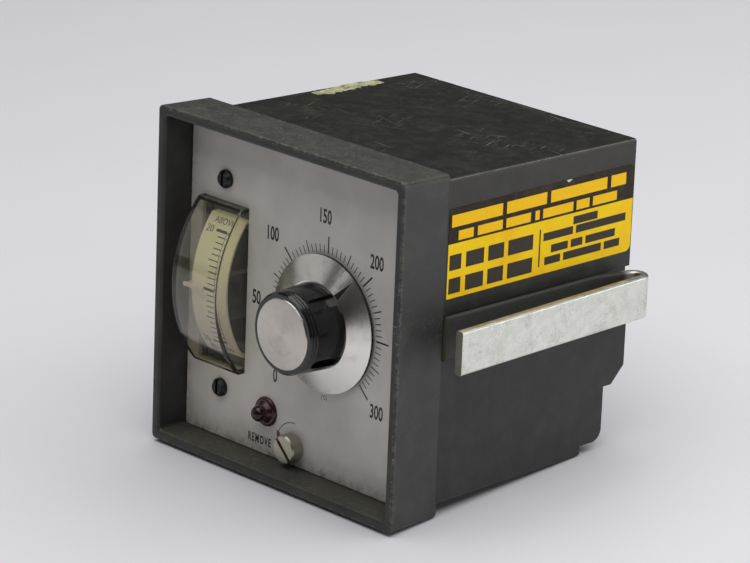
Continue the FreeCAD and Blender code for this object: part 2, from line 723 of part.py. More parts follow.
def terminal_plates():
    """Clamp plates on the barrier strip's base."""
    base_y = STEP_Y + BLOCK_BASE
    top_y = base_y + TERMINAL_PLATE_THICKNESS
    middle = terminal_middle_z()
    half = TERMINAL_PLATE_WIDTH / 2
    rise = TERMINAL_PLATE_HEIGHT / 2
    plates = []
    for x in contact_places():
        plate = rounded_slab(
            x - half, x + half, base_y, top_y, middle - rise, middle + rise, TERMINAL_PLATE_CORNER
        )
        plates.append(plate.cut(rod_y(SCREW_HOLE_R, x, middle, base_y - OVER, top_y + OVER)))
    return group(plates)


def slotted_screw(x, z, seat_y, direction, head_r, head, shank_r, reach):
    """A round-head screw along Y; direction is 1 where the head stands towards +Y."""
    top = seat_y + direction * head
    profile = [
        (0, seat_y - direction * reach),
        (shank_r, seat_y - direction * reach),
        (shank_r, seat_y),
        (head_r, seat_y),
        (head_r, seat_y + direction * head * SCREW_RIM_SHARE),
        (head_r * SCREW_CROWN_SHARE, top),
        (0, top),
    ]
    screw = turned(profile, x, z)
    low, high = sorted((top - direction * head * SCREW_SLOT_SHARE, top + direction * OVER))
    return screw.cut(slab(x - SCREW_SLOT / 2, x + SCREW_SLOT / 2, low, high, z - head_r, z + head_r))


def terminal_screws():
    """One slotted screw in each terminal."""
    seat = STEP_Y + BLOCK_BASE + TERMINAL_PLATE_THICKNESS
    reach = TERMINAL_PLATE_THICKNESS + TERMINAL_SCREW_REACH - CONTACT_HOLE_GAP
    sizes = (TERMINAL_SCREW_HEAD_R, TERMINAL_SCREW_HEAD, SCREW_SHANK_R, reach)
    return group([slotted_screw(x, terminal_middle_z(), seat, 1, *sizes) for x in contact_places()])


def connector_socket():
    """Edge socket on the inside of the stepped rear wall."""
    left = BOARD_LEFT_X - CASE_WALL / 2
    right = BOARD_RIGHT_X + CASE_WALL / 2
    half = SOCKET_HEIGHT / 2
    body = slab(left, right, SOCKET_FRONT_Y, STEP_INNER_Y, SOCKET_CENTRE_Z - half, SOCKET_CENTRE_Z + half)
    mouth = slab(
        BOARD_LEFT_X - SOCKET_SLOT_GAP,
        BOARD_RIGHT_X + SOCKET_SLOT_GAP,
        SOCKET_FRONT_Y - OVER,
        POWER_BOARD_BACK_Y + SOCKET_SLOT_GAP,
        POWER_BOARD_Z - SOCKET_SLOT_GAP,
        POWER_BOARD_TOP_Z + SOCKET_SLOT_GAP,
    )
    body = body.cut(mouth)
    for strip in contact_strips(0):
        body = body.cut(strip)
    return body


def connector_contacts():
    """Flat strips from the socket's mouth to the terminals."""
    return group(contact_strips(0))


def jack_nut():
    """Threaded brass insert in the case's boss."""
    sleeve = rod_y(JACK_NUT_R - JACK_NUT_GAP, JACK_X, JACK_Z, BOSS_FRONT_Y, BOSS_FRONT_Y + JACK_NUT_LENGTH)
    return sleeve.cut(rod_y(JACK_R + JACK_CLEARANCE, JACK_X, JACK_Z, BOSS_FRONT_Y - OVER, FAR))


def side_label():
    """Paper label that follows the tapered right wall, round at its rear corners."""
    y0 = LABEL_MARGIN
    y1 = CASE_DEPTH - LABEL_MARGIN
    wall_front = case_sides(y0, 0)[1]
    wall_back = case_sides(y1, 0)[1]
    profile = [
        (wall_front, y0),
        (wall_front + LABEL_THICKNESS, y0),
        (wall_back + LABEL_THICKNESS, y1),
        (wall_back, y1),
    ]
    label = prism_z(profile, LABEL_BOTTOM_Z, LABEL_TOP_Z)
    corners = [e for e in label.Edges if e.CenterOfMass.y > y1 - OVER and e.Length < 2 * LABEL_THICKNESS]
    return label.makeFillet(LABEL_CORNER, corners)


def clip_path(side):
    """The middle line of a clip: along the wall, out, round the turn and back past the bezel."""
    slope = math.atan2(CASE_TAPER, CASE_DEPTH)
    flare = math.radians(CLIP_FLARE_DEG)
    splay = math.radians(CLIP_SPLAY_DEG)
    offset = CLIP_PROUD - CLIP_THICKNESS / 2

    def heading(angle):
        return Vector(math.sin(angle), math.cos(angle), 0)

    def bend(start, angle0, angle1, radius):
        turn = 1 if angle1 > angle0 else -1
        normal0 = Vector(math.cos(angle0), -math.sin(angle0), 0) * turn
        centre = start + normal0 * radius
        spots = []
        for angle in ((angle0 + angle1) / 2, angle1):
            normal = Vector(math.cos(angle), -math.sin(angle), 0) * turn
            spots.append(centre - normal * radius)
        return Part.Arc(start, spots[0], spots[1]).toShape(), spots[1]

    start = Vector(CASE_WIDTH / 2 + offset, CLIP_SEAT_GAP, 0)
    straight_end = start + heading(-slope) * CLIP_STRAIGHT
    flare_arc, flare_start = bend(straight_end, -slope, flare, CLIP_FLARE_ROUND)
    flare_end = flare_start + heading(flare) * CLIP_FLARE_RUN
    back = math.pi - splay
    turn_arc, turn_end = bend(flare_end, flare, back, CLIP_TURN_R)
    run = (turn_end.y + CLIP_FRONT_REACH) / math.cos(splay)
    tip = turn_end + heading(back) * run
    edges = [
        Part.LineSegment(start, straight_end).toShape(),
        flare_arc,
        Part.LineSegment(flare_start, flare_end).toShape(),
        turn_arc,
        Part.LineSegment(turn_end, tip).toShape(),
    ]
    path = Part.Wire(edges)
    if side < 0:
        path = path.mirror(Vector(0, 0, 0), Vector(1, 0, 0))
    path.translate(Vector(CASE_SHIFT_X, 0, CLIP_CENTRE_Z))
    return path


def mounting_clip(side):
    """Flat bar bent to a hairpin, with round edges."""
    path = clip_path(side)
    first = path.OrderedVertexes[0].Point
    half = CLIP_THICKNESS / 2
    width = CLIP_WIDTH / 2
    section = rounded_outline(-half, half, -width, width, CLIP_EDGE, 0)
    section.translate(first)
    bar = path.makePipeShell([section], True, False)
    return Part.Solid(bar) if bar.ShapeType == "Shell" else bar


def clip_right():
    """Clip on the right wall."""
    return mounting_clip(1)


def clip_left():
    """Clip on the left wall."""
    return mounting_clip(-1)


def faceplate():
    """Front plate with a window and holes for what stands through it."""
    plate = rounded_slab(
        -PLATE_HALF, PLATE_HALF, PLATE_FRONT_Y, PLATE_BACK_Y, -PLATE_HALF, PLATE_HALF, PLATE_CORNER
    )
    half = COVER_HALF + COVER_HOLE_GAP
    cuts = [
        slab(
            COVER_LEFT_X - COVER_HOLE_GAP,
            COVER_RIGHT_X + COVER_HOLE_GAP,
            PLATE_FRONT_Y - OVER,
            PLATE_BACK_Y + OVER,
            METER_CENTRE_Z - half,
            METER_CENTRE_Z + half,
        )
    ]
    return plate.cut(cuts + front_holes(PLATE_FRONT_Y - OVER, PLATE_BACK_Y + OVER))


def front_holes(y0, y1):
    """Round holes that the faceplate and the frame share."""
    holes = [
        rod_y(BUSH_R + BUSH_HOLE_GAP, DIAL_X, DIAL_Z, y0, y1),
        rod_y(LENS_SPIGOT_R + LAMP_HOLE_GAP, LAMP_X, LAMP_Z, y0, y1),
        rod_y(JACK_R + JACK_HOLE_GAP, JACK_X, JACK_Z, y0, y1),
    ]
    for side in (1, -1):
        holes.append(rod_y(SCREW_HOLE_R, METER_CENTRE_X, METER_CENTRE_Z + side * METER_SCREW_RISE, y0, y1))
    return holes


def flange_profile(z_outer, direction):
    """Section of a flange folded back from the frame's front; direction points into the chassis."""
    z_inner = z_outer + direction * SHEET
    back = FRAME_BACK_Y + FLANGE_REACH
    return [
        (PLATE_BACK_Y + SHEET_BEND, z_outer),
        (back, z_outer),
        (back, z_inner),
        (FRAME_BACK_Y, z_inner),
        (FRAME_BACK_Y, z_outer + direction * (SHEET + SHEET_BEND)),
        (PLATE_BACK_Y, z_outer + direction * (SHEET + SHEET_BEND)),
        (PLATE_BACK_Y, z_outer + direction * SHEET_BEND),
    ]


def frame_screw_places():
    """Where the flanges are screwed to the boards: x, y and which board."""
    y = FRAME_BACK_Y + FLANGE_REACH / 2 + BOARD_FRONT_GAP
    right = BOARD_RIGHT_X - FLANGE_SCREW_INSET
    return {
        "power": [(FLANGE_LEFT_X + FLANGE_SCREW_INSET, y), (right, y)],
        "control": [(BOARD_LEFT_X + FLANGE_SCREW_INSET, y), (right, y)],
    }


def chassis_frame():
    """Folded sheet behind the faceplate, with a flange for each board and a tongue for the jack screw."""
    front = slab(
        FRAME_LEFT_X,
        FRAME_RIGHT_X,
        PLATE_BACK_Y,
        FRAME_BACK_Y,
        FRAME_BOTTOM_Z + SHEET + SHEET_BEND,
        FRAME_TOP_Z - SHEET - SHEET_BEND,
    )
    tongue = slab(
        JACK_X - TONGUE_WIDTH / 2,
        JACK_X + TONGUE_WIDTH / 2,
        PLATE_BACK_Y,
        FRAME_BACK_Y,
        JACK_Z - JACK_RING_R,
        FRAME_BOTTOM_Z + 2 * SHEET_BEND + SHEET,
    )
    right = FRAME_RIGHT_X - FLANGE_SIDE_GAP
    low = prism_x(flange_profile(FRAME_BOTTOM_Z, 1), FLANGE_LEFT_X, right)
    high = prism_x(flange_profile(FRAME_TOP_Z, -1), FRAME_LEFT_X + FLANGE_SIDE_GAP, right)
    frame = fused([front, tongue, low, high])
    half = COVER_HALF + COVER_FLANGE + COVER_HOLE_GAP
    window = slab(
        FRAME_LEFT_X - OVER,
        COVER_RIGHT_X + COVER_FLANGE + COVER_HOLE_GAP,
        PLATE_BACK_Y - OVER,
        FRAME_BACK_Y + OVER,
        METER_CENTRE_Z - half,
        METER_CENTRE_Z + half,
    )
    frame = frame.cut([window] + front_holes(PLATE_BACK_Y - OVER, FRAME_BACK_Y + OVER))
    places = frame_screw_places()
    for x, y in places["power"]:
        frame = frame.cut(rod(SCREW_HOLE_R, (x, y, FRAME_BOTTOM_Z - OVER), (x, y, POWER_BOARD_Z + OVER)))
    for x, y in places["control"]:
        frame = frame.cut(rod(SCREW_HOLE_R, (x, y, CONTROL_BOARD_Z), (x, y, FRAME_TOP_Z + OVER)))
    return frame


def post_places():
    """Where the posts stand between the boards."""
    return [(BOARD_LEFT_X + POST_INSET, POST_Y), (BOARD_RIGHT_X - POST_INSET, POST_Y)]


def drilled_board(back_y, z, places):
    """A board between the chassis's sides with a screw hole at each place."""
    board = slab(BOARD_LEFT_X, BOARD_RIGHT_X, BOARD_FRONT_Y, back_y, z, z + BOARD_THICKNESS)
    holes = [rod(SCREW_HOLE_R, (x, y, z - OVER), (x, y, z + BOARD_THICKNESS + OVER)) for x, y in places]
    return board.cut(holes)


def control_board():
    """Upper board, under the top flange."""
    places = frame_screw_places()["control"] + post_places()
    return drilled_board(CONTROL_BOARD_BACK_Y, CONTROL_BOARD_Z, places)


def power_board():
    """Lower board, whose rear edge plugs into the socket and whose front clears the lamp."""
    places = frame_screw_places()["power"] + post_places()
    board = drilled_board(POWER_BOARD_BACK_Y, POWER_BOARD_Z, places)
    lamp_room = LAMP_HOLDER_R + BOARD_FRONT_GAP
    notch = slab(
        LAMP_X - lamp_room,
        LAMP_X + lamp_room,
        BOARD_FRONT_Y - OVER,
        FRAME_BACK_Y + LAMP_HOLDER_LENGTH + BOARD_FRONT_GAP,
        POWER_BOARD_Z - OVER,
        POWER_BOARD_TOP_Z + OVER,
    )
    return board.cut(notch)


def hexagon_z(across_flats, x, y, z0, z1):
    """A hexagonal bar along Z."""
    radius = across_flats / math.sqrt(3)
    corners = [
        (x + radius * math.cos(math.radians(60 * k)), y + radius * math.sin(math.radians(60 * k)))
        for k in range(6)
    ]
    return prism_z(corners, z0, z1)


def board_posts():
    """Hexagonal posts between the two boards, tapped at both ends."""
    posts = []
    for x, y in post_places():
        post = hexagon_z(POST_ACROSS_FLATS, x, y, POWER_BOARD_TOP_Z, CONTROL_BOARD_Z)
        for z0, z1 in (
            (POWER_BOARD_TOP_Z - OVER, POWER_BOARD_TOP_Z + POST_TAP),
            (CONTROL_BOARD_Z - POST_TAP, CONTROL_BOARD_Z + OVER),
        ):
            post = post.cut(rod(SCREW_HOLE_R, (x, y, z0), (x, y, z1)))
        posts.append(post)
    return group(posts)


def upright_screw(x, y, seat_z, direction, reach):
    """A slotted screw along Z; direction is 1 where the head stands upwards."""
    screw = slotted_screw(0, 0, 0, 1, SCREW_HEAD_R, SCREW_HEAD_HEIGHT, SCREW_SHANK_R, reach)
    screw.rotate(Vector(0, 0, 0), Vector(1, 0, 0), 90 * direction)
    screw.translate(Vector(x, y, seat_z))
    return screw


def board_screws():
    """Screws of the posts, and screws with nuts of the flanges."""
    reach = BOARD_THICKNESS + POST_THREAD
    flange_reach = SHEET + BOARD_THICKNESS + NUT_THICKNESS + NUT_OVERSHOOT
    places = frame_screw_places()
    shapes = []
    for x, y in post_places():
        shapes.append(upright_screw(x, y, POWER_BOARD_Z, -1, reach))
        shapes.append(upright_screw(x, y, CONTROL_BOARD_Z + BOARD_THICKNESS, 1, reach))
    for x, y in places["power"]:
        shapes.append(upright_screw(x, y, FRAME_BOTTOM_Z, -1, flange_reach))
        nut = hexagon_z(POST_ACROSS_FLATS, x, y, POWER_BOARD_TOP_Z, POWER_BOARD_TOP_Z + NUT_THICKNESS)
        shapes.append(nut.cut(rod(SCREW_HOLE_R, (x, y, POWER_BOARD_Z), (x, y, 0))))
    for x, y in places["control"]:
        shapes.append(upright_screw(x, y, FRAME_TOP_Z, 1, flange_reach))
        nut = hexagon_z(POST_ACROSS_FLATS, x, y, CONTROL_BOARD_Z - NUT_THICKNESS, CONTROL_BOARD_Z)
        shapes.append(nut.cut(rod(SCREW_HOLE_R, (x, y, 0), (x, y, CONTROL_BOARD_Z + OVER))))
    return group(shapes)


def transformer_windows():
    """The two windows of the laminated core, either side of its centre leg."""
    y0 = CORE_CENTRE_Y - CORE_STACK / 2
    y1 = CORE_CENTRE_Y + CORE_STACK / 2
    bottom = POWER_BOARD_TOP_Z + CORE_LEG
    top = POWER_BOARD_TOP_Z + CORE_HEIGHT - CORE_LEG
    inner = CORE_LEG
    outer = CORE_WIDTH / 2 - CORE_LEG
    return [
        slab(CORE_CENTRE_X - outer, CORE_CENTRE_X - inner, y0 - 1, y1 + 1, bottom, top),
        slab(CORE_CENTRE_X + inner, CORE_CENTRE_X + outer, y0 - 1, y1 + 1, bottom, top),
    ]


def transformer_core():
    """Stack of laminations with two windows."""
    foot = POWER_BOARD_TOP_Z
    top = foot + CORE_HEIGHT
    stack = centred_slab(CORE_CENTRE_X, CORE_CENTRE_Y, CORE_WIDTH / 2, CORE_STACK / 2, foot, top)
    return stack.cut(transformer_windows())


def transformer_coil():
    """Taped winding round the centre leg, seen at both ends of the stack."""
    half_x = CORE_WIDTH / 2 - CORE_LEG - WINDING_GAP
    half_y = CORE_STACK / 2 + WINDING_OVERHANG
    bottom = POWER_BOARD_TOP_Z + CORE_LEG + WINDING_GAP
    top = POWER_BOARD_TOP_Z + CORE_HEIGHT - CORE_LEG - WINDING_GAP
    winding = centred_slab(CORE_CENTRE_X, CORE_CENTRE_Y, half_x, half_y, bottom, top)
    upright = [e for e in winding.Edges if abs(e.Vertexes[0].Z - e.Vertexes[1].Z) > WINDING_GAP]
    winding = winding.makeFillet(WINDING_ROUND, upright)
    leg_x = CORE_LEG + WINDING_LEG_GAP
    leg_y = CORE_STACK / 2 + WINDING_LEG_GAP
    leg = centred_slab(CORE_CENTRE_X, CORE_CENTRE_Y, leg_x, leg_y, bottom - OVER, top + OVER)
    return winding.cut(leg)


def relay_box(inset, z0, z1):
    """The relay's outline between two heights, moved in by an inset."""
    half_x = RELAY_WIDTH / 2 - inset
    half_y = RELAY_DEPTH / 2 - inset
    return centred_slab(RELAY_CENTRE_X, RELAY_CENTRE_Y, half_x, half_y, z0, z1)


def relay_base():
    """Moulded base with the contact block standing on it."""
    base = relay_box(0, POWER_BOARD_TOP_Z, POWER_BOARD_TOP_Z + RELAY_BASE_HEIGHT)
    block = relay_box(
        RELAY_BLOCK_INSET, POWER_BOARD_TOP_Z, POWER_BOARD_TOP_Z + RELAY_HEIGHT - RELAY_BLOCK_DROP
    )
    return fused([base, block])


def relay_cover():
    """Thin clear cover over the relay's contact block."""
    seat = POWER_BOARD_TOP_Z + RELAY_BASE_HEIGHT
    top = POWER_BOARD_TOP_Z + RELAY_HEIGHT
    return relay_box(0, seat, top).cut(relay_box(RELAY_COVER_WALL, seat - OVER, top - RELAY_COVER_WALL))


def filter_capacitors():
    """Upright cans with a rolled groove near the foot."""
    shapes = []
    z = POWER_BOARD_TOP_Z
    groove = CAPACITOR_GROOVE
    rise = CAPACITOR_GROOVE_RISE
    for x in spread(CAPACITOR_FIRST_X, CAPACITOR_PITCH, CAPACITOR_COUNT):
        profile = [
            (0, 0),
            (CAPACITOR_R, 0),
            (CAPACITOR_R, rise - groove),
            (CAPACITOR_R - groove, rise),
            (CAPACITOR_R, rise + groove),
            (CAPACITOR_R, CAPACITOR_HEIGHT - groove),
            (CAPACITOR_R - groove, CAPACITOR_HEIGHT),
            (0, CAPACITOR_HEIGHT),
        ]
        can = turned(profile, 0, 0)
        can.rotate(Vector(0, 0, 0), Vector(1, 0, 0), 90)
        can.translate(Vector(x, CAPACITOR_Y, z))
        shapes.append(can)
    return group(shapes)


def resistor_lead(x, z, side):
    """A wire from one end of a resistor, bent up to the board."""
    start = RESISTOR_Y + side * (RESISTOR_LENGTH / 2 - RESISTOR_R)
    end = RESISTOR_Y + side * (RESISTOR_LENGTH / 2 + RESISTOR_R)
    bend = 2 * RESISTOR_LEAD_R
    turn = Vector(x, end - side * bend, z)
    middle = Vector(x, end - side * bend * (1 - math.sqrt(0.5)), z + bend * (1 - math.sqrt(0.5)))
    up = Vector(x, end, z + bend)
    path = Part.Wire(
        [
            Part.LineSegment(Vector(x, start, z), turn).toShape(),
            Part.Arc(turn, middle, up).toShape(),
            Part.LineSegment(up, Vector(x, end, CONTROL_BOARD_Z)).toShape(),
        ]
    )
    ring = Part.Wire(Part.makeCircle(RESISTOR_LEAD_R, Vector(x, start, z), Vector(0, 1, 0)))
    return path.makePipeShell([ring], True, False)


def board_resistors():
    """A row of resistors under the control board, on bent leads."""
    z = CONTROL_BOARD_Z - RESISTOR_LIFT - RESISTOR_R
    half = RESISTOR_LENGTH / 2
    shapes = []
    for x in spread(RESISTOR_LAST_X, -RESISTOR_PITCH, RESISTOR_COUNT):
        body = rod(RESISTOR_R, (x, RESISTOR_Y - half, z), (x, RESISTOR_Y + half, z))
        shapes.append(fused([body] + [resistor_lead(x, z, side) for side in (1, -1)]))
    return group(shapes)


def board_trimmers():
    """Square trimmers under the control board, each with a slotted disc."""
    half = TRIMMER_SIDE / 2
    face = CONTROL_BOARD_Z - TRIMMER_HEIGHT
    disc = TRIMMER_DISC_R
    shapes = []
    for x in spread(TRIMMER_FIRST_X, TRIMMER_PITCH, TRIMMER_COUNT):
        body = centred_slab(x, TRIMMER_Y, half, half, face, CONTROL_BOARD_Z)
        turn = rod(disc, (x, TRIMMER_Y, face - SCREW_SLOT), (x, TRIMMER_Y, face + SCREW_SLOT))
        slot = centred_slab(x, TRIMMER_Y, disc, SCREW_SLOT / 2, face - 2 * SCREW_SLOT, face)
        shapes.append(fused([body, turn]).cut(slot))
    return group(shapes)


def board_chips():
    """Dual in-line packages under the control board."""
    top = CONTROL_BOARD_Z - CHIP_LIFT
    shapes = []
    for x in spread(CHIP_LAST_X, -CHIP_PITCH, CHIP_COUNT):
        half = CHIP_WIDTH / 2
        parts = [centred_slab(x, CHIP_Y, half, CHIP_LENGTH / 2, top - CHIP_HEIGHT, top)]
        middle = top - CHIP_HEIGHT / 2
        for y in centred(CHIP_Y, CHIP_PIN_PITCH, CHIP_PIN_COUNT):
            for side in (1, -1):
                inner, outer = sorted((x + side * (half - CHIP_PIN), x + side * (half + 2 * CHIP_PIN)))
                leg0, leg1 = sorted((x + side * (half + CHIP_PIN), x + side * (half + 2 * CHIP_PIN)))
                parts.append(slab(inner, outer, y - CHIP_PIN, y + CHIP_PIN, middle, middle + CHIP_PIN))
                parts.append(slab(leg0, leg1, y - CHIP_PIN, y + CHIP_PIN, middle, CONTROL_BOARD_Z))
        shapes.append(fused(parts))
    return group(shapes)


def board_transistors():
    """Metal can transistors under the control board, each with a rim."""
    shapes = []
    rim = TRANSISTOR_RIM
    for x in spread(TRANSISTOR_FIRST_X, TRANSISTOR_PITCH, TRANSISTOR_COUNT):
        profile = [
            (0, 0),
            (TRANSISTOR_R + rim, 0),
            (TRANSISTOR_R + rim, rim),
            (TRANSISTOR_R, rim),
            (TRANSISTOR_R, TRANSISTOR_HEIGHT - rim),
            (TRANSISTOR_R - rim, TRANSISTOR_HEIGHT),
            (0, TRANSISTOR_HEIGHT),
        ]
        can = turned(profile, 0, 0)
        can.rotate(Vector(0, 0, 0), Vector(1, 0, 0), -90)
        can.translate(Vector(x, TRANSISTOR_Y, CONTROL_BOARD_Z))
        shapes.append(can)
    return group(shapes)


def pot_body():
    """Round can of the setpoint potentiometer, against the frame."""
    back = FRAME_BACK_Y + POT_DEPTH
    profile = [
        (SHAFT_R + SHAFT_CLEARANCE, FRAME_BACK_Y),
        (POT_R, FRAME_BACK_Y),
        (POT_R, back - POT_ROUND),
        (POT_R - POT_ROUND, back),
        (0, back),
        (0, back - POT_ROUND),
        (SHAFT_R + SHAFT_CLEARANCE, back - POT_ROUND),
    ]
    return turned(profile, DIAL_X, DIAL_Z)


def pot_bush():
    """Threaded bush that stands through the frame and the faceplate."""
    front = PLATE_FRONT_Y - BUSH_PROUD
    profile = [
        (SHAFT_R + SHAFT_CLEARANCE, front),
        (BUSH_R - POT_ROUND / 2, front),
        (BUSH_R, front + POT_ROUND / 2),
        (BUSH_R, FRAME_BACK_Y),
        (SHAFT_R + SHAFT_CLEARANCE, FRAME_BACK_Y),
    ]
    return turned(profile, DIAL_X, DIAL_Z)


def pot_washer():
    """Washer on the faceplate."""
    front = PLATE_FRONT_Y - WASHER_THICKNESS
    disc = rod_y(WASHER_R, DIAL_X, DIAL_Z, front, PLATE_FRONT_Y)
    return disc.cut(rod_y(BUSH_R + BUSH_HOLE_GAP, DIAL_X, DIAL_Z, front - OVER, 0))


def pot_nut():
    """Nut on the bush, under the knob's skirt."""
    back = PLATE_FRONT_Y - WASHER_THICKNESS
    nut = hexagon_y(NUT_ACROSS_FLATS, DIAL_X, DIAL_Z, back - NUT_HEIGHT, back)
    return nut.cut(rod_y(BUSH_R + KNOB_FIT, DIAL_X, DIAL_Z, back - NUT_HEIGHT - OVER, 0))


def pot_terminals():
    """Solder tabs below the potentiometer."""
    y = FRAME_BACK_Y + POT_DEPTH / 2
    low = DIAL_Z - POT_R - POT_TAB_LENGTH
    can = pot_body()
    tabs = []
    for x in centred(DIAL_X, POT_TAB_PITCH, POT_TAB_COUNT):
        tab = centred_slab(x, y, POT_TAB_WIDTH / 2, POT_TAB_THICKNESS / 2, low, DIAL_Z - POT_R / 2)
        tabs.append(tab.cut(can))
    return group(tabs)


def knob_shell():
    """Fluted black knob with a grooved front collar and a recess for its cap."""
    front = KNOB_FRONT_Y
    seat = front + CAP_THICKNESS - CAP_PROUD
    profile = [
        (0, seat),
        (CAP_R + KNOB_FIT, seat),
        (CAP_R + KNOB_FIT, front),
        (KNOB_FRONT_R - KNOB_BEVEL, front),
        (KNOB_FRONT_R, front + KNOB_BEVEL),
    ]
    for k in range(KNOB_GROOVE_COUNT):
        groove = front + KNOB_GROOVE_BACK + k * KNOB_GROOVE_PITCH
        profile += [
            (KNOB_FRONT_R, groove - KNOB_GROOVE),
            (KNOB_FRONT_R - KNOB_GROOVE, groove),
            (KNOB_FRONT_R, groove + KNOB_GROOVE),
        ]
    profile += [
        (KNOB_BASE_R, KNOB_BACK_Y),
        (KNOB_SPIGOT_R, KNOB_BACK_Y),
        (KNOB_SPIGOT_R, KNOB_BACK_Y + SKIRT_THICKNESS),
        (0, KNOB_BACK_Y + SKIRT_THICKNESS),
    ]
    shell = turned(profile, DIAL_X, DIAL_Z)
    shell = shell.cut([flute(k) for k in range(FLUTE_COUNT)])
    bore_end = KNOB_BACK_Y - SHAFT_IN_KNOB
    shell = shell.cut(rod_y(SHAFT_R + KNOB_FIT, DIAL_X, DIAL_Z, bore_end, KNOB_BACK_Y + FAR))
    hole = set_screw_bar(SET_SCREW_R + KNOB_FIT, SHAFT_R, KNOB_BASE_R + OVER)
    return shell.cut(hole)


def about_dial(shape, degrees):
    """Turn a shape about the dial's axis, clockwise seen from the front."""
    shape.rotate(Vector(DIAL_X, 0, DIAL_Z), Vector(0, 1, 0), degrees)
    return shape


def flute(index):
    """Cutter of one axial flute with a round front end, in line with the pointer mark."""
    half = FLUTE_WIDTH / 2
    floor = DIAL_Z + KNOB_BASE_R - FLUTE_DEPTH
    start = KNOB_FRONT_Y + FLUTE_START + half
    run = slab(DIAL_X - half, DIAL_X + half, start, KNOB_BACK_Y + OVER, floor, floor + KNOB_BASE_R)
    end = rod(half, (DIAL_X, start, floor), (DIAL_X, start, floor + KNOB_BASE_R))
    return about_dial(fused([run, end]), KNOB_POINTING_DEG + index * 360 / FLUTE_COUNT)


def set_screw_bar(radius, r0, r1):
    """A radial bar at the set screw's place, on the pointer's side of the knob."""
    y = KNOB_BACK_Y - SET_SCREW_BACK
    bar = rod(radius, (DIAL_X, y, DIAL_Z + r0), (DIAL_X, y, DIAL_Z + r1))
    return about_dial(bar, KNOB_POINTING_DEG + 180)


def knob_cap():
    """Turned metal cap in the knob's front."""
    front = KNOB_FRONT_Y - CAP_PROUD
    profile = [
        (0, front),
        (CAP_R - CAP_EDGE, front),
        (CAP_R, front + CAP_EDGE),
        (CAP_R, front + CAP_THICKNESS),
        (0, front + CAP_THICKNESS),
    ]
    return turned(profile, DIAL_X, DIAL_Z)


def knob_skirt():
    """Spun metal skirt: a flat centre and a cone down to the plate."""
    flat = KNOB_BACK_Y
    profile = [
        (KNOB_SPIGOT_R + KNOB_FIT, flat),
        (SKIRT_FLAT_R, flat),
        (SKIRT_R, flat + SKIRT_RISE),
        (SKIRT_R, flat + SKIRT_RISE + SKIRT_THICKNESS),
        (SKIRT_FLAT_R, flat + SKIRT_THICKNESS),
        (KNOB_SPIGOT_R + KNOB_FIT, flat + SKIRT_THICKNESS),
    ]
    return turned(profile, DIAL_X, DIAL_Z)


def knob_set_screw():
    """Headless screw that grips the shaft."""
    return set_screw_bar(SET_SCREW_R, SHAFT_R + KNOB_FIT, SHAFT_R + KNOB_FIT + SET_SCREW_LENGTH)


def pot_shaft():
    """Shaft from the potentiometer into the knob."""
    front = KNOB_BACK_Y - SHAFT_IN_KNOB + KNOB_FIT
    back = FRAME_BACK_Y + POT_DEPTH - POT_ROUND - SHAFT_CLEARANCE
    return rod_y(SHAFT_R, DIAL_X, DIAL_Z, front, back)


def lamp_lens():
    """Red lens: a flange that flows into a round nub, on a hollow spigot."""
    flange = PLATE_FRONT_Y - LENS_FLANGE
    neck = flange - (LENS_FLANGE_R - LENS_NUB_R) * LENS_SLOPE
    tip = PLATE_FRONT_Y - LENS_REACH
    dome = tip + LENS_NUB_R
    back = PLATE_FRONT_Y + LENS_SPIGOT
    bore = LENS_SPIGOT_R - LENS_WALL
    ease = math.sqrt(0.5)

    def spot(radius, y):
        return Vector(LAMP_X + radius, y, LAMP_Z)

    edges = [
        Part.LineSegment(spot(bore, back), spot(LENS_SPIGOT_R, back)),
        Part.LineSegment(spot(LENS_SPIGOT_R, back), spot(LENS_SPIGOT_R, PLATE_FRONT_Y)),
        Part.LineSegment(spot(LENS_SPIGOT_R, PLATE_FRONT_Y), spot(LENS_FLANGE_R, PLATE_FRONT_Y)),
        Part.LineSegment(spot(LENS_FLANGE_R, PLATE_FRONT_Y), spot(LENS_FLANGE_R, flange + LENS_FLANGE / 2)),
        Part.Arc(
            spot(LENS_FLANGE_R, flange + LENS_FLANGE / 2),
            spot(LENS_FLANGE_R - (1 - ease) * LENS_FLANGE, flange + (1 - ease) * LENS_FLANGE / 2),
            spot(LENS_FLANGE_R - LENS_FLANGE, flange),
        ),
        Part.LineSegment(spot(LENS_FLANGE_R - LENS_FLANGE, flange), spot(LENS_NUB_R, neck)),
        Part.LineSegment(spot(LENS_NUB_R, neck), spot(LENS_NUB_R, dome)),
        Part.Arc(
            spot(LENS_NUB_R, dome), spot(LENS_NUB_R * ease, dome - LENS_NUB_R * ease), spot(0, tip)
        ),
        Part.LineSegment(spot(0, tip), spot(0, tip + LENS_NUB_R)),
        Part.LineSegment(spot(0, tip + LENS_NUB_R), spot(bore, flange)),
        Part.LineSegment(spot(bore, flange), spot(bore, back)),
    ]
    face = Part.Face(Part.Wire([edge.toShape() for edge in edges]))
    return face.revolve(Vector(LAMP_X, 0, LAMP_Z), Vector(0, 1, 0), 360)


def lamp_holder():
    """Push-on sleeve behind the frame that grips the lens's spigot."""
    back = FRAME_BACK_Y + LAMP_HOLDER_LENGTH
    grip = LENS_SPIGOT_R + LAMP_GRIP_GAP
    profile = [
        (grip, FRAME_BACK_Y),
        (LAMP_HOLDER_R, FRAME_BACK_Y),
        (LAMP_HOLDER_R, back),
        (0, back),
        (0, back - LAMP_HOLDER_WALL),
        (grip, back - LAMP_HOLDER_WALL),
    ]
    return turned(profile, LAMP_X, LAMP_Z)


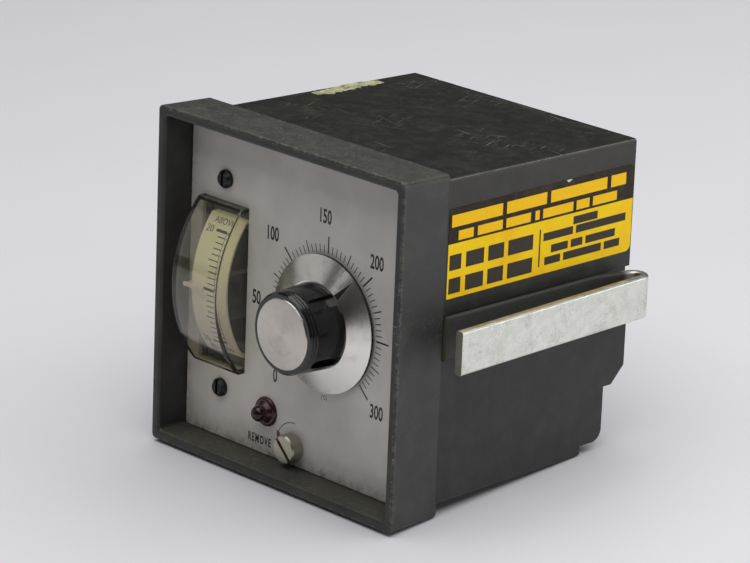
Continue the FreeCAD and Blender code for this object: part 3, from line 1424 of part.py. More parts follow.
def lamp_bulb():
    """Bulb on the floor of its holder, with a round end inside the lens."""
    back = FRAME_BACK_Y + LAMP_HOLDER_LENGTH - LAMP_HOLDER_WALL
    front = back - BULB_LENGTH - BULB_GAP
    glass = rod_y(BULB_R, LAMP_X, LAMP_Z, front, back)
    return fused([glass, Part.makeSphere(BULB_R, Vector(LAMP_X, front, LAMP_Z))])


def jack_screw():
    """Slotted screw with a tall plain head; its shank runs into the insert."""
    top = JACK_HEAD_BACK_Y - JACK_HEAD
    profile = [
        (0, top),
        (JACK_HEAD_R - JACK_EDGE, top),
        (JACK_HEAD_R, top + JACK_EDGE),
        (JACK_HEAD_R, JACK_HEAD_BACK_Y - JACK_EDGE),
        (JACK_HEAD_R - JACK_EDGE, JACK_HEAD_BACK_Y),
        (JACK_R, JACK_HEAD_BACK_Y),
        (JACK_R, PLATE_FRONT_Y + JACK_REACH),
        (0, PLATE_FRONT_Y + JACK_REACH),
    ]
    screw = turned(profile, JACK_X, JACK_Z)
    slot = slab(
        JACK_X - JACK_SLOT / 2,
        JACK_X + JACK_SLOT / 2,
        top - OVER,
        top + JACK_SLOT_DEPTH,
        JACK_Z - 2 * JACK_HEAD_R,
        JACK_Z + 2 * JACK_HEAD_R,
    )
    slot.rotate(Vector(JACK_X, 0, JACK_Z), Vector(0, 1, 0), -JACK_SLOT_DEG)
    return screw.cut(slot)


def jack_ring():
    """Split ring that keeps the jack screw in the frame."""
    front = FRAME_BACK_Y + JACK_RING_GAP
    back = front + JACK_RING
    ring = rod_y(JACK_RING_R, JACK_X, JACK_Z, front, back)
    ring = ring.cut(rod_y(JACK_R + JACK_RING_FIT, JACK_X, JACK_Z, front - OVER, back + OVER))
    half = JACK_RING_OPENING / 2
    return ring.cut(slab(JACK_X - half, JACK_X + half, front - OVER, back + OVER, JACK_Z, JACK_Z + FAR))


def round_front(radius, half, back_y, x0, x1):
    """A block whose front is an arc about the meter's pivot, with straight ends and a flat back."""
    shoulder_y = PIVOT_Y - math.sqrt(radius**2 - half**2)
    top = Vector(x0, shoulder_y, METER_CENTRE_Z + half)
    low = Vector(x0, shoulder_y, METER_CENTRE_Z - half)
    nose = Vector(x0, PIVOT_Y - radius, METER_CENTRE_Z)
    back_low = Vector(x0, back_y, METER_CENTRE_Z - half)
    back_top = Vector(x0, back_y, METER_CENTRE_Z + half)
    edges = [
        Part.Arc(top, nose, low),
        Part.LineSegment(low, back_low),
        Part.LineSegment(back_low, back_top),
        Part.LineSegment(back_top, top),
    ]
    face = Part.Face(Part.Wire([edge.toShape() for edge in edges]))
    return face.extrude(Vector(x1 - x0, 0, 0))


def meter_cover():
    """Clear moulded window with a round front and a flange behind the faceplate."""
    outside = round_front(COVER_R, COVER_HALF, FRAME_BACK_Y, COVER_LEFT_X, COVER_RIGHT_X)
    front_edges = [edge for edge in outside.Edges if edge.BoundBox.YMax < PLATE_FRONT_Y]
    outside = outside.makeFillet(COVER_EDGE, front_edges)
    half = COVER_HALF + COVER_FLANGE
    flange = slab(
        COVER_LEFT_X - COVER_FLANGE,
        COVER_RIGHT_X + COVER_FLANGE,
        PLATE_BACK_Y,
        FRAME_BACK_Y,
        METER_CENTRE_Z - half,
        METER_CENTRE_Z + half,
    )
    inside = round_front(
        COVER_R - COVER_WALL,
        COVER_HALF - COVER_WALL,
        FRAME_BACK_Y + OVER,
        COVER_LEFT_X + COVER_WALL,
        COVER_RIGHT_X - COVER_WALL,
    )
    return fused([outside, flange]).cut(inside)


def arc_band(radius, thickness, half_angle, x0, x1):
    """A curved strip about the meter's pivot, facing the front."""

    def spot(r, angle):
        return Vector(x0, PIVOT_Y - r * math.cos(angle), METER_CENTRE_Z + r * math.sin(angle))

    inner = radius - thickness
    edges = [
        Part.Arc(spot(radius, -half_angle), spot(radius, 0), spot(radius, half_angle)),
        Part.LineSegment(spot(radius, half_angle), spot(inner, half_angle)),
        Part.Arc(spot(inner, half_angle), spot(inner, 0), spot(inner, -half_angle)),
        Part.LineSegment(spot(inner, -half_angle), spot(radius, -half_angle)),
    ]
    face = Part.Face(Part.Wire([edge.toShape() for edge in edges]))
    return face.extrude(Vector(x1 - x0, 0, 0))


def meter_scale():
    """Curved scale strip whose ends are bent back to stand on the meter's frame."""
    left = SCALE_RIGHT_X - SCALE_WIDTH
    half_angle = math.radians(SCALE_END_DEG)
    end_y = PIVOT_Y - SCALE_R * math.cos(half_angle)
    end_rise = SCALE_R * math.sin(half_angle)
    inner_rise = end_rise - SCALE_THICKNESS
    legs = [
        slab(left, SCALE_RIGHT_X, end_y, METER_FRONT_Y, METER_CENTRE_Z + low, METER_CENTRE_Z + high)
        for low, high in ((inner_rise, end_rise), (-end_rise, -inner_rise))
    ]
    return fused([arc_band(SCALE_R, SCALE_THICKNESS, half_angle, left, SCALE_RIGHT_X), *legs])


def pivot_bar(radius, x0, x1):
    """A round bar on the meter's pivot axis."""
    return rod(radius, (x0, PIVOT_Y, METER_CENTRE_Z), (x1, PIVOT_Y, METER_CENTRE_Z))


def meter_frame():
    """Moulded frame: a front plate with ears, two cheeks for the bearings and a back."""
    left = METER_LEFT_X
    right = METER_RIGHT_X
    rise = METER_SCREW_RISE + METER_EAR
    plate = slab(left, right, METER_FRONT_Y, METER_PLATE_BACK_Y, METER_CENTRE_Z - rise, METER_CENTRE_Z + rise)
    window = slab(
        left + METER_CHEEK,
        right - METER_CHEEK,
        METER_FRONT_Y - OVER,
        METER_PLATE_BACK_Y + OVER,
        METER_CENTRE_Z - METER_WINDOW,
        METER_CENTRE_Z + METER_WINDOW,
    )
    back_end = MAGNET_BACK_Y + METER_PLATE
    bottom = METER_CENTRE_Z - METER_CHEEK_HALF
    top = METER_CENTRE_Z + METER_CHEEK_HALF
    walls = [
        plate.cut(window),
        slab(left, left + METER_CHEEK, METER_PLATE_BACK_Y - METER_PLATE, back_end, bottom, top),
        slab(right - METER_CHEEK, right, METER_PLATE_BACK_Y - METER_PLATE, back_end, bottom, top),
        slab(left, right, MAGNET_BACK_Y, back_end, bottom, top),
    ]
    frame = fused(walls).cut(pivot_bar(BEARING_R + BEARING_FIT, left - OVER, right + OVER))
    front = METER_FRONT_Y - OVER
    for side in (1, -1):
        z = METER_CENTRE_Z + side * METER_SCREW_RISE
        frame = frame.cut(rod_y(SCREW_HOLE_R, METER_CENTRE_X, z, front, METER_PLATE_BACK_Y + OVER))
    return frame


def meter_screws():
    """Two black slotted screws through the faceplate into the meter's frame."""
    return group(
        [
            slotted_screw(
                METER_CENTRE_X,
                METER_CENTRE_Z + side * METER_SCREW_RISE,
                PLATE_FRONT_Y,
                -1,
                METER_SCREW_HEAD_R,
                METER_SCREW_HEAD,
                METER_SCREW_R,
                METER_SCREW_REACH,
            )
            for side in (1, -1)
        ]
    )


def meter_magnet():
    """Magnet block with a round bore for the moving coil, against the frame's back."""
    block = slab(
        MAGNET_LEFT_X,
        MAGNET_RIGHT_X,
        PIVOT_Y - MAGNET_HALF,
        MAGNET_BACK_Y,
        METER_CENTRE_Z - MAGNET_HALF,
        METER_CENTRE_Z + MAGNET_HALF,
    )
    return block.cut(pivot_bar(AIR_BORE_R, MAGNET_LEFT_X - OVER, MAGNET_RIGHT_X + OVER))


def meter_core():
    """Soft iron core inside the moving coil."""
    return pivot_bar(METER_CORE_R, MAGNET_LEFT_X, MAGNET_RIGHT_X)


def meter_strap():
    """Straps that hold the core in the magnet's bore, one at each end, clear of the coil."""
    half = STRAP_WIDTH / 2
    return group(
        [
            slab(
                x0,
                x0 + STRAP_THICKNESS,
                PIVOT_Y - MAGNET_HALF + half,
                PIVOT_Y + MAGNET_HALF - half,
                METER_CENTRE_Z - half,
                METER_CENTRE_Z + half,
            )
            for x0 in (MAGNET_LEFT_X - STRAP_THICKNESS, MAGNET_RIGHT_X)
        ]
    )


def meter_bearings():
    """Bearing screws in the frame's cheeks, each with a blind pivot hole."""
    shapes = []
    for x, direction in ((METER_LEFT_X, 1), (METER_RIGHT_X, -1)):
        end = x + direction * BEARING_LENGTH
        floor = end - direction * (PIVOT_DEPTH + PIVOT_CLEARANCE)
        hole = pivot_bar(PIVOT_R + PIVOT_CLEARANCE, floor, end + direction * OVER)
        shapes.append(pivot_bar(BEARING_R, x, end).cut(hole))
    return group(shapes)


def coil_ends():
    """The moving coil's left and right ends."""
    reach = STRAP_THICKNESS + COIL_GAP + COIL_THICKNESS
    return MAGNET_LEFT_X - reach, MAGNET_RIGHT_X + reach


def pointer_coil():
    """Rectangular coil that turns round the core."""
    left, right = coil_ends()
    mid_r = (METER_CORE_R + AIR_BORE_R) / 2
    outer = mid_r + COIL_THICKNESS / 2
    inner = mid_r - COIL_THICKNESS / 2
    half = COIL_WIDTH / 2
    block = slab(left, right, PIVOT_Y - half, PIVOT_Y + half, METER_CENTRE_Z - outer, METER_CENTRE_Z + outer)
    room = slab(
        left + COIL_THICKNESS,
        right - COIL_THICKNESS,
        PIVOT_Y - half - OVER,
        PIVOT_Y + half + OVER,
        METER_CENTRE_Z - inner,
        METER_CENTRE_Z + inner,
    )
    return block.cut(room)


def pointer_pivots():
    """Pivot pins from the coil's ends into the bearings."""
    left, right = coil_ends()
    shapes = []
    for inner, outer in (
        (left, METER_LEFT_X + BEARING_LENGTH - PIVOT_DEPTH),
        (right, METER_RIGHT_X - BEARING_LENGTH + PIVOT_DEPTH),
    ):
        shapes.append(pivot_bar(PIVOT_R, inner, outer))
    return group(shapes)


def pointer_arm():
    """Arm from the pivot to the scale, bent over at the tip, with a balance weight on its tail."""
    radius = SCALE_R + POINTER_GAP + POINTER_THICKNESS
    half = POINTER_WIDTH / 2
    tip_y = PIVOT_Y - radius
    x0 = POINTER_X - POINTER_THICKNESS / 2
    x1 = POINTER_X + POINTER_THICKNESS / 2
    tail_y = PIVOT_Y + POINTER_TAIL
    parts = [
        pivot_bar(HUB_R, x0, x1),
        slab(x0, x1, tip_y, tail_y, METER_CENTRE_Z - half, METER_CENTRE_Z + half),
        slab(
            POINTER_X - POINTER_TIP_LEFT,
            POINTER_X + POINTER_TIP_RIGHT,
            tip_y,
            tip_y + POINTER_THICKNESS,
            METER_CENTRE_Z - half,
            METER_CENTRE_Z + half,
        ),
        rod(POINTER_WEIGHT_R, (x0, tail_y, METER_CENTRE_Z), (x1, tail_y, METER_CENTRE_Z)),
    ]
    return fused(parts).cut(pivot_bar(PIVOT_R, x0 - OVER, x1 + OVER))


PIECES = [
    case,
    front_bezel,
    terminal_block,
    terminal_plates,
    terminal_screws,
    connector_socket,
    connector_contacts,
    jack_nut,
    side_label,
    clip_right,
    clip_left,
    faceplate,
    chassis_frame,
    control_board,
    power_board,
    board_posts,
    board_screws,
    transformer_core,
    transformer_coil,
    relay_base,
    relay_cover,
    filter_capacitors,
    board_resistors,
    board_trimmers,
    board_chips,
    board_transistors,
    pot_body,
    pot_bush,
    pot_washer,
    pot_nut,
    pot_terminals,
    lamp_lens,
    lamp_holder,
    lamp_bulb,
    meter_cover,
    meter_scale,
    meter_frame,
    meter_screws,
    meter_magnet,
    meter_core,
    meter_strap,
    meter_bearings,
    knob_shell,
    knob_cap,
    knob_skirt,
    knob_set_screw,
    pot_shaft,
    pointer_arm,
    pointer_coil,
    pointer_pivots,
    jack_screw,
    jack_ring,
]


def main():
    """Write each piece to its own file."""
    os.makedirs("parts", exist_ok=True)
    for piece in PIECES:
        shape = piece()
        shape.exportStep("parts/" + piece.__name__ + ".step")


main()
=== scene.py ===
"""Looks of a panel temperature controller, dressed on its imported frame."""

from __future__ import annotations

import json
import logging
import math
import random
from dataclasses import dataclass
from enum import Enum
from functools import lru_cache
from typing import Any, Callable, Iterable, Sequence

import bmesh
import bpy
from mathutils import Matrix, Vector

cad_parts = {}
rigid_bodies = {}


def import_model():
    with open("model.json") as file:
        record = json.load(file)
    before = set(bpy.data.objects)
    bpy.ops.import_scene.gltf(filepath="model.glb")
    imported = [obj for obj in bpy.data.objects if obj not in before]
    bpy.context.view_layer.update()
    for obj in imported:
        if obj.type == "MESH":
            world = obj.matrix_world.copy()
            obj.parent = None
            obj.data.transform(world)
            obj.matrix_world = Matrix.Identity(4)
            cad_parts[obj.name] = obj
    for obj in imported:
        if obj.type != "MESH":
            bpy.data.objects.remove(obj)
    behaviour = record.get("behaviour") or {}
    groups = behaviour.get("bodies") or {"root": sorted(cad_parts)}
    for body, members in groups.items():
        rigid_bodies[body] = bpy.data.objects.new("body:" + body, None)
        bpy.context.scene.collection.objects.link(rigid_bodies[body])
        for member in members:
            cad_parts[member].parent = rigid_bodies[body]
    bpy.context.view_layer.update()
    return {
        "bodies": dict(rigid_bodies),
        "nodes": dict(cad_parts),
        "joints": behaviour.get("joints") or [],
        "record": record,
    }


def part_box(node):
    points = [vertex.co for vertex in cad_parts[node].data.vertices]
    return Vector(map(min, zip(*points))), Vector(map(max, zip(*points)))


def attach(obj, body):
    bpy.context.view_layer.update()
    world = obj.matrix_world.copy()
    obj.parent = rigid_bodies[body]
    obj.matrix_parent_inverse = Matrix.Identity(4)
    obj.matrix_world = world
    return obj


MM = 0.001
INK_DEPTH = 0.03
CLEARANCE = 0.01
BOARD_PITCH = 2.54
DIAL_CENTRE = (10.2, -1.3)

log = logging.getLogger("controller")

Colour = tuple[float, float, float]
Point = tuple[float, float, float]
Flat = tuple[float, float]
Grid = Sequence[Sequence[Flat]]
Lay = Callable[[float, float, float], Point]


def paint(red: int, green: int, blue: int) -> Colour:
    """Turn a screen colour into the linear values that shaders take.

    Args:
        red: Red from 0 to 255.
        green: Green from 0 to 255.
        blue: Blue from 0 to 255.

    Returns:
        The linear colour.
    """
    shares = (red / 255, green / 255, blue / 255)
    return tuple(s / 12.92 if s <= 0.04045 else ((s + 0.055) / 1.055) ** 2.4 for s in shares)


def dim(colour: Colour, share: float) -> Colour:
    """Darken a colour to a share of its light."""
    return tuple(part * share for part in colour)


class Wire:
    """A node's output, with the sums that patterns are written in."""

    def __init__(self, graph: Graph, socket: bpy.types.NodeSocket) -> None:
        """Keep the tree and the output that the wire leaves from."""
        self.graph = graph
        self.socket = socket

    def maths(self, operation: str, *terms: Any) -> Wire:
        """Add one Math node that takes numbers or wires."""
        return self.graph.wire("ShaderNodeMath", {"operation": operation}, dict(enumerate(terms)))

    def __add__(self, other: Any) -> Wire:
        """Add a number or a wire."""
        return self.maths("ADD", self, other)

    def __radd__(self, other: Any) -> Wire:
        """Add to a number."""
        return self.maths("ADD", other, self)

    def __sub__(self, other: Any) -> Wire:
        """Take away a number or a wire."""
        return self.maths("SUBTRACT", self, other)

    def __rsub__(self, other: Any) -> Wire:
        """Take this from a number."""
        return self.maths("SUBTRACT", other, self)

    def __mul__(self, other: Any) -> Wire:
        """Multiply by a number or a wire."""
        return self.maths("MULTIPLY", self, other)

    def __rmul__(self, other: Any) -> Wire:
        """Multiply a number."""
        return self.maths("MULTIPLY", other, self)

    def __truediv__(self, other: Any) -> Wire:
        """Divide by a number or a wire."""
        return self.maths("DIVIDE", self, other)

    def __abs__(self) -> Wire:
        """Drop the sign."""
        return self.maths("ABSOLUTE", self)

    def __mod__(self, other: Any) -> Wire:
        """Keep what is left after whole steps, counted upwards from below zero too."""
        return self.maths("FLOORED_MODULO", self, other)

    def most(self, other: Any) -> Wire:
        """Take the larger of two values."""
        return self.maths("MAXIMUM", self, other)

    def below(self, limit: Any) -> Wire:
        """Give 1 where the value is under a limit and 0 elsewhere."""
        return self.maths("LESS_THAN", self, limit)

    def whole(self) -> Wire:
        """Round down."""
        return self.maths("FLOOR", self)

    def root(self) -> Wire:
        """Take the square root."""
        return self.maths("SQRT", self)

    def sine(self) -> Wire:
        """Take the sine."""
        return self.maths("SINE", self)

    def cosine(self) -> Wire:
        """Take the cosine."""
        return self.maths("COSINE", self)

    def rise(self, low: float, high: float) -> Wire:
        """Go smoothly from 0 to 1 between two values.

        Args:
            low: Where the rise starts; it may be the larger of the two.
            high: Where the rise ends.

        Returns:
            The mask.
        """
        swap = low > high
        limits = {"From Min": min(low, high), "From Max": max(low, high)}
        ends = {"To Min": float(swap), "To Max": float(not swap)}
        smooth = {"interpolation_type": "SMOOTHSTEP"}
        return self.graph.wire("ShaderNodeMapRange", smooth, {"Value": self, **limits, **ends})


class Graph:
    """A node tree that is filled from Python."""

    def __init__(self, tree: bpy.types.NodeTree) -> None:
        """Keep the tree that the nodes go into."""
        self.tree = tree

    def node(
        self, kind: str, settings: dict[str, Any] | None = None, inputs: dict[Any, Any] | None = None
    ) -> bpy.types.Node:
        """Add any node.

        Args:
            kind: The node's type.
            settings: Its own properties, set first.
            inputs: Values, wires or nodes for its sockets, by name or place.

        Returns:
            The new node.
        """
        node = self.tree.nodes.new(kind)
        for name, value in (settings or {}).items():
            setattr(node, name, value)
        for key, value in (inputs or {}).items():
            self.feed(node.inputs[key], value)
        return node

    def feed(self, socket: bpy.types.NodeSocket, value: Any) -> None:
        """Give a socket a wire, a node's first output or a plain value.

        Args:
            socket: The input that is fed.
            value: What it gets; a colour may leave out its alpha.
        """
        if isinstance(value, Wire):
            self.tree.links.new(value.socket, socket)
        elif isinstance(value, bpy.types.Node):
            self.tree.links.new(value.outputs[0], socket)
        elif socket.type == "RGBA" and len(value) == 3:
            socket.default_value = (*value, 1.0)
        else:
            socket.default_value = value

    def wire(self, kind: str, settings: dict[str, Any], inputs: dict[Any, Any], output: Any = 0) -> Wire:
        """Add any node and take one of its outputs."""
        return Wire(self, self.node(kind, settings, inputs).outputs[output])

    def vector(self, x: Any, y: Any, z: Any) -> Wire:
        """Join three values into a vector."""
        return self.wire("ShaderNodeCombineXYZ", {}, {0: x, 1: y, 2: z})


class ShaderGraph(Graph):
    """The node tree of one material, with places in millimetres."""

    def __init__(self, name: str) -> None:
        """Start an empty material.

        Args:
            name: The material's name.
        """
        self.made = bpy.data.materials.new(name)
        self.made.use_nodes = True
        super().__init__(self.made.node_tree)
        self.tree.nodes.clear()
        spot = self.wire("ShaderNodeTexCoord", {}, {}, "Object")
        scaled = {"operation": "SCALE"}
        self.place = self.wire("ShaderNodeVectorMath", scaled, {0: spot, "Scale": 1 / MM})
        apart = self.node("ShaderNodeSeparateXYZ", None, {0: self.place})
        self.x, self.y, self.z = (Wire(self, out) for out in apart.outputs)

    def stretched(self, stretch: Point, turn_deg: Point = (0.0, 0.0, 0.0)) -> Wire:
        """Give the place, turned and then stretched along the axes.

        Args:
            stretch: How many units of pattern go on a millimetre, by axis.
            turn_deg: How far the pattern is turned about the axes.

        Returns:
            The vector for a texture.
        """
        turn = tuple(math.radians(angle) for angle in turn_deg)
        scale = tuple(1.0 / step for step in stretch)
        inputs = {"Vector": self.place, "Rotation": turn, "Scale": scale}
        return self.wire("ShaderNodeMapping", {"vector_type": "TEXTURE"}, inputs)

    def noise(self, size: float, detail: float = 3.0, roughness: float = 0.5, at: Wire | None = None) -> Wire:
        """Add cloudy noise around 0.5, with patches of a size in millimetres and finer layers on them."""
        inputs = {"Vector": at or self.place, "Scale": 1 / size, "Detail": detail, "Roughness": roughness}
        return self.wire("ShaderNodeTexNoise", {}, inputs)

    def scratches(self, length: float, width: float, share: float, turn_deg: Point) -> Wire:
        """Draw fine lines that run one way and break off.

        Args:
            length: About how long one is in millimetres.
            width: About how wide one is.
            share: How much of the surface carries them, from 0 to 1.
            turn_deg: How far they are turned about the axes from the Y axis.

        Returns:
            The mask.
        """
        lines = self.noise(1.0, 1.0, 0.4, self.stretched((1 / width, 1 / length, 1 / width), turn_deg))
        limit = 0.80 - 0.16 * share
        return lines.rise(limit, limit + 0.05)

    def specks(self, size: float, share: float) -> Wire:
        """Strew spots of a size in millimetres over a share of the surface, from 0 to 1."""
        limit = 0.78 - 0.20 * share
        return self.noise(size, 1.0, 0.5).rise(limit, limit + 0.06)

    def facing(self, axis: int) -> Wire:
        """Give the surface direction's part along axis 0, 1 or 2, from -1 to 1."""
        normal = self.wire("ShaderNodeNewGeometry", {}, {}, "Normal")
        return Wire(self, self.node("ShaderNodeSeparateXYZ", None, {0: normal}).outputs[axis])

    def mix(self, mask: Any, under: Any, over: Any) -> Wire:
        """Lay one colour over another where the mask shows it."""
        return self.wire("ShaderNodeMix", {"data_type": "RGBA"}, {0: mask, 6: under, 7: over}, 2)

    def bump(self, height: Wire, depth: float, edge: float = 0.0) -> Wire:
        """Turn a pattern into relief.

        Args:
            height: The pattern, from 0 to 1.
            depth: How deep it is in millimetres.
            edge: How far sharp edges look rounded, in millimetres.

        Returns:
            The bent surface direction.
        """
        inputs = {"Height": height, "Distance": depth * MM, "Strength": 1.0}
        if edge:
            inputs["Normal"] = self.wire("ShaderNodeBevel", {"samples": 4}, {"Radius": edge * MM})
        return self.wire("ShaderNodeBump", {}, inputs)

    def surface(self, **sockets: Any) -> None:
        """Add the main shader and join it to the output.

        Args:
            sockets: Values by the shader's socket names, with _ for a space.
        """
        inputs = {name.replace("_", " "): value for name, value in sockets.items()}
        shader = self.node("ShaderNodeBsdfPrincipled", None, inputs)
        self.node("ShaderNodeOutputMaterial", None, {"Surface": shader})


@dataclass(frozen=True)
class Finish:
    """What a surface is made of."""

    name: str

    def draw(self, graph: ShaderGraph) -> None:
        """Fill the material's node tree."""
        raise NotImplementedError


@lru_cache(maxsize=None)
def material_of(finish: Finish) -> bpy.types.Material:
    """Make a finish's material once.

    Args:
        finish: The finish.

    Returns:
        Its material.
    """
    graph = ShaderGraph(finish.name)
    finish.draw(graph)
    return graph.made


@dataclass(frozen=True)
class Moulding(Finish):
    """Plain moulded plastic with a faint grain, handled and a little dusty."""

    colour: Colour
    roughness: float = 0.45
    mottle: float = 0.35
    dust: Colour = paint(128, 124, 108)
    dust_share: float = 0.12

    def draw(self, graph: ShaderGraph) -> None:
        """Shade the colour, lay thin dust on what faces up, and add grain.

        Args:
            graph: The material's tree.
        """
        cloud = graph.noise(6.0, 4.0)
        base = graph.mix(cloud.rise(0.3, 0.7), self.colour, dim(self.colour, 1 - self.mottle))
        up = graph.facing(2).rise(0.2, 0.9)
        dust = up * graph.noise(1.4, 4.0, 0.6).rise(0.35, 0.75) * self.dust_share
        base = graph.mix(dust, base, self.dust)
        grain = graph.noise(0.35, 2.0)
        rough = self.roughness + (cloud - 0.5) * 0.2 + dust * 0.3
        graph.surface(Base_Color=base, Roughness=rough, Normal=graph.bump(grain, 0.012))


@dataclass(frozen=True)
class CaseMoulding(Finish):
    """The aged black case: scratched and dusty on top, streaked on its sides, with painted sheen on its right
    side.
    """

    top: float
    right: float
    taper: float
    edge_width: Flat = (0.5, 0.1)
    # Where the painted sheen band on the right side starts and ends, below the top.
    strip: Flat = (14.0, 4.0)
    colour: Colour = paint(33, 33, 32)
    worn: Colour = paint(40, 40, 37)
    dust: Colour = paint(92, 90, 72)
    painted_sheen: Colour = paint(98, 98, 100)
    mark: Colour = paint(150, 148, 132)

    def draw(self, graph: ShaderGraph) -> None:
        """Build up mottling, dust, scratches, pale specks, painted sheen on the right side and a pale line
        along the top-right edge.

        Args:
            graph: The material's tree.
        """
        cloud = graph.noise(11.0, 5.0, 0.6)
        base = graph.mix(cloud.rise(0.38, 0.72), self.colour, self.worn)
        up = graph.facing(2).rise(0.5, 0.95)
        film = graph.noise(5.0, 6.0, 0.65).rise(0.35, 0.8)
        sheen_side = graph.facing(0).rise(0.5, 0.95)
        base = graph.mix(film * (0.05 + up * 0.03), base, self.dust)
        # Painted sheen: right-facing sides are lightened towards a pale grey, more where the dust film lies.
        base = graph.mix(sheen_side * (0.03 + film * 0.10), base, self.painted_sheen)
        # Painted sheen: a lighter band along the upper part of the right side, in the dust colour.
        strip = graph.z.rise(*(self.top - below for below in self.strip))
        base = graph.mix(sheen_side * strip * 0.12, base, self.dust)
        lines = graph.scratches(46.0, 0.15, 0.52, (0.0, 0.0, 22.0))
        lines = lines.most(graph.scratches(28.0, 0.13, 0.5, (0.0, 0.0, -51.0)))
        lines = lines.most(graph.scratches(17.0, 0.15, 0.45, (0.0, 0.0, 83.0)))
        patches = graph.noise(16.0, 2.0).rise(0.40, 0.62)
        base = graph.mix(lines * patches * (0.10 + up * 0.75), base, self.mark)
        spots = graph.specks(0.55, 0.30) * graph.noise(9.0, 2.0).rise(0.4, 0.62)
        base = graph.mix(spots * (0.10 + up * 0.45), base, self.mark)
        # A pale broken line along the top-right edge, where the top and the right side meet.
        drop = graph.y * self.taper
        upper = (graph.z + drop).rise(*(self.top - inside for inside in self.edge_width))
        outer = (graph.x + drop).rise(*(self.right - inside for inside in self.edge_width))
        worn = upper * outer * graph.noise(3.0, 5.0, 0.7).rise(0.24, 0.56)
        base = graph.mix(worn * 0.9, base, self.mark)
        grain = graph.noise(0.30, 2.0) + graph.noise(2.2, 3.0) * 1.6
        rough = 0.34 + film * 0.14 + lines * 0.1
        relief = graph.bump(grain, 0.014, 0.35)
        graph.surface(Base_Color=base, Roughness=rough, Normal=relief, Specular_IOR_Level=0.34)


@dataclass(frozen=True)
class BezelMoulding(Finish):
    """The black front frame: dusty on top, scuffed and chipped along its edges, with painted sheen on its
    right side.
    """

    half: float
    front: float
    inner_share: float = 0.9
    ledge_rise: float = 4.0
    edge_width: Flat = (1.3, 0.2)
    edge_depth: Flat = (1.4, 0.2)
    scuff_low: Flat = (1.0, 4.0)
    scuff_high: Flat = (12.0, 9.0)
    scuff_right: Flat = (40.0, 44.0)
    colour: Colour = paint(38, 38, 37)
    worn: Colour = paint(54, 54, 50)
    dust: Colour = paint(112, 112, 98)
    painted_sheen: Colour = paint(98, 98, 100)
    mark: Colour = paint(176, 174, 162)

    def draw(self, graph: ShaderGraph) -> None:
        """Lay dust on ledges, wear on the outer edges, a few pale scuffs and painted sheen on the right side.

        Args:
            graph: The material's tree.
        """
        cloud = graph.noise(9.0, 5.0, 0.6)
        base = graph.mix(cloud.rise(0.35, 0.75), self.colour, self.worn)
        up = graph.facing(2).rise(0.5, 0.95)
        film = graph.noise(3.2, 6.0, 0.68).rise(0.30, 0.78)
        sheen_side = graph.facing(0).rise(0.5, 0.95)
        base = graph.mix(up * (0.02 + film * 0.11), base, self.dust)
        # Painted sheen: right-facing sides are lightened towards a pale grey, more where the dust film lies.
        base = graph.mix(sheen_side * (0.04 + film * 0.07), base, self.painted_sheen)
        grit = graph.noise(0.85, 3.0, 0.7).rise(0.52, 0.66) * graph.noise(6.0, 3.0).rise(0.3, 0.6)
        base = graph.mix(up * grit * 0.42, base, self.dust)
        floor = -self.half * self.inner_share
        ledge = up * graph.z.rise(floor + self.ledge_rise, floor)
        litter = graph.noise(1.4, 6.0, 0.78).rise(0.48, 0.70)
        base = graph.mix(ledge * (0.10 + litter * 0.35), base, self.dust)
        side = abs(graph.x).most(abs(graph.z))
        edge = side.rise(*(self.half - inside for inside in self.edge_width))
        edge = edge * graph.y.rise(*(self.front + behind for behind in self.edge_depth))
        worn = edge * graph.noise(1.6, 5.0, 0.7).rise(0.42, 0.66)
        base = graph.mix(worn * 0.5, base, self.dust)
        chips = edge * graph.noise(0.8, 4.0, 0.7).rise(0.62, 0.70)
        scuffs = graph.scratches(3.2, 0.22, 0.8, (0.0, 0.0, 90.0))
        scuffs = scuffs * graph.z.rise(*self.scuff_low) * graph.z.rise(*self.scuff_high)
        chips = chips.most(scuffs * graph.x.rise(*self.scuff_right) * 0.9)
        base = graph.mix(chips * 0.75, base, self.mark)
        spots = graph.specks(0.5, 0.34) * graph.noise(7.0, 2.0).rise(0.4, 0.65)
        base = graph.mix(spots * (0.16 + up * 0.44), base, self.mark)
        lines = graph.scratches(15.0, 0.14, 0.5, (52.0, 0.0, 24.0))
        lines = lines.most(graph.scratches(12.0, 0.12, 0.5, (-35.0, 0.0, -58.0)))
        base = graph.mix(lines * graph.noise(11.0, 2.0).rise(0.42, 0.62) * 0.3, base, self.mark)
        grain = graph.noise(0.32, 2.0) + graph.noise(2.5, 3.0) * 1.4
        rough = 0.42 + film * 0.12 + up * 0.12
        relief = graph.bump(grain, 0.014)
        graph.surface(Base_Color=base, Roughness=rough, Normal=relief, Specular_IOR_Level=0.48)


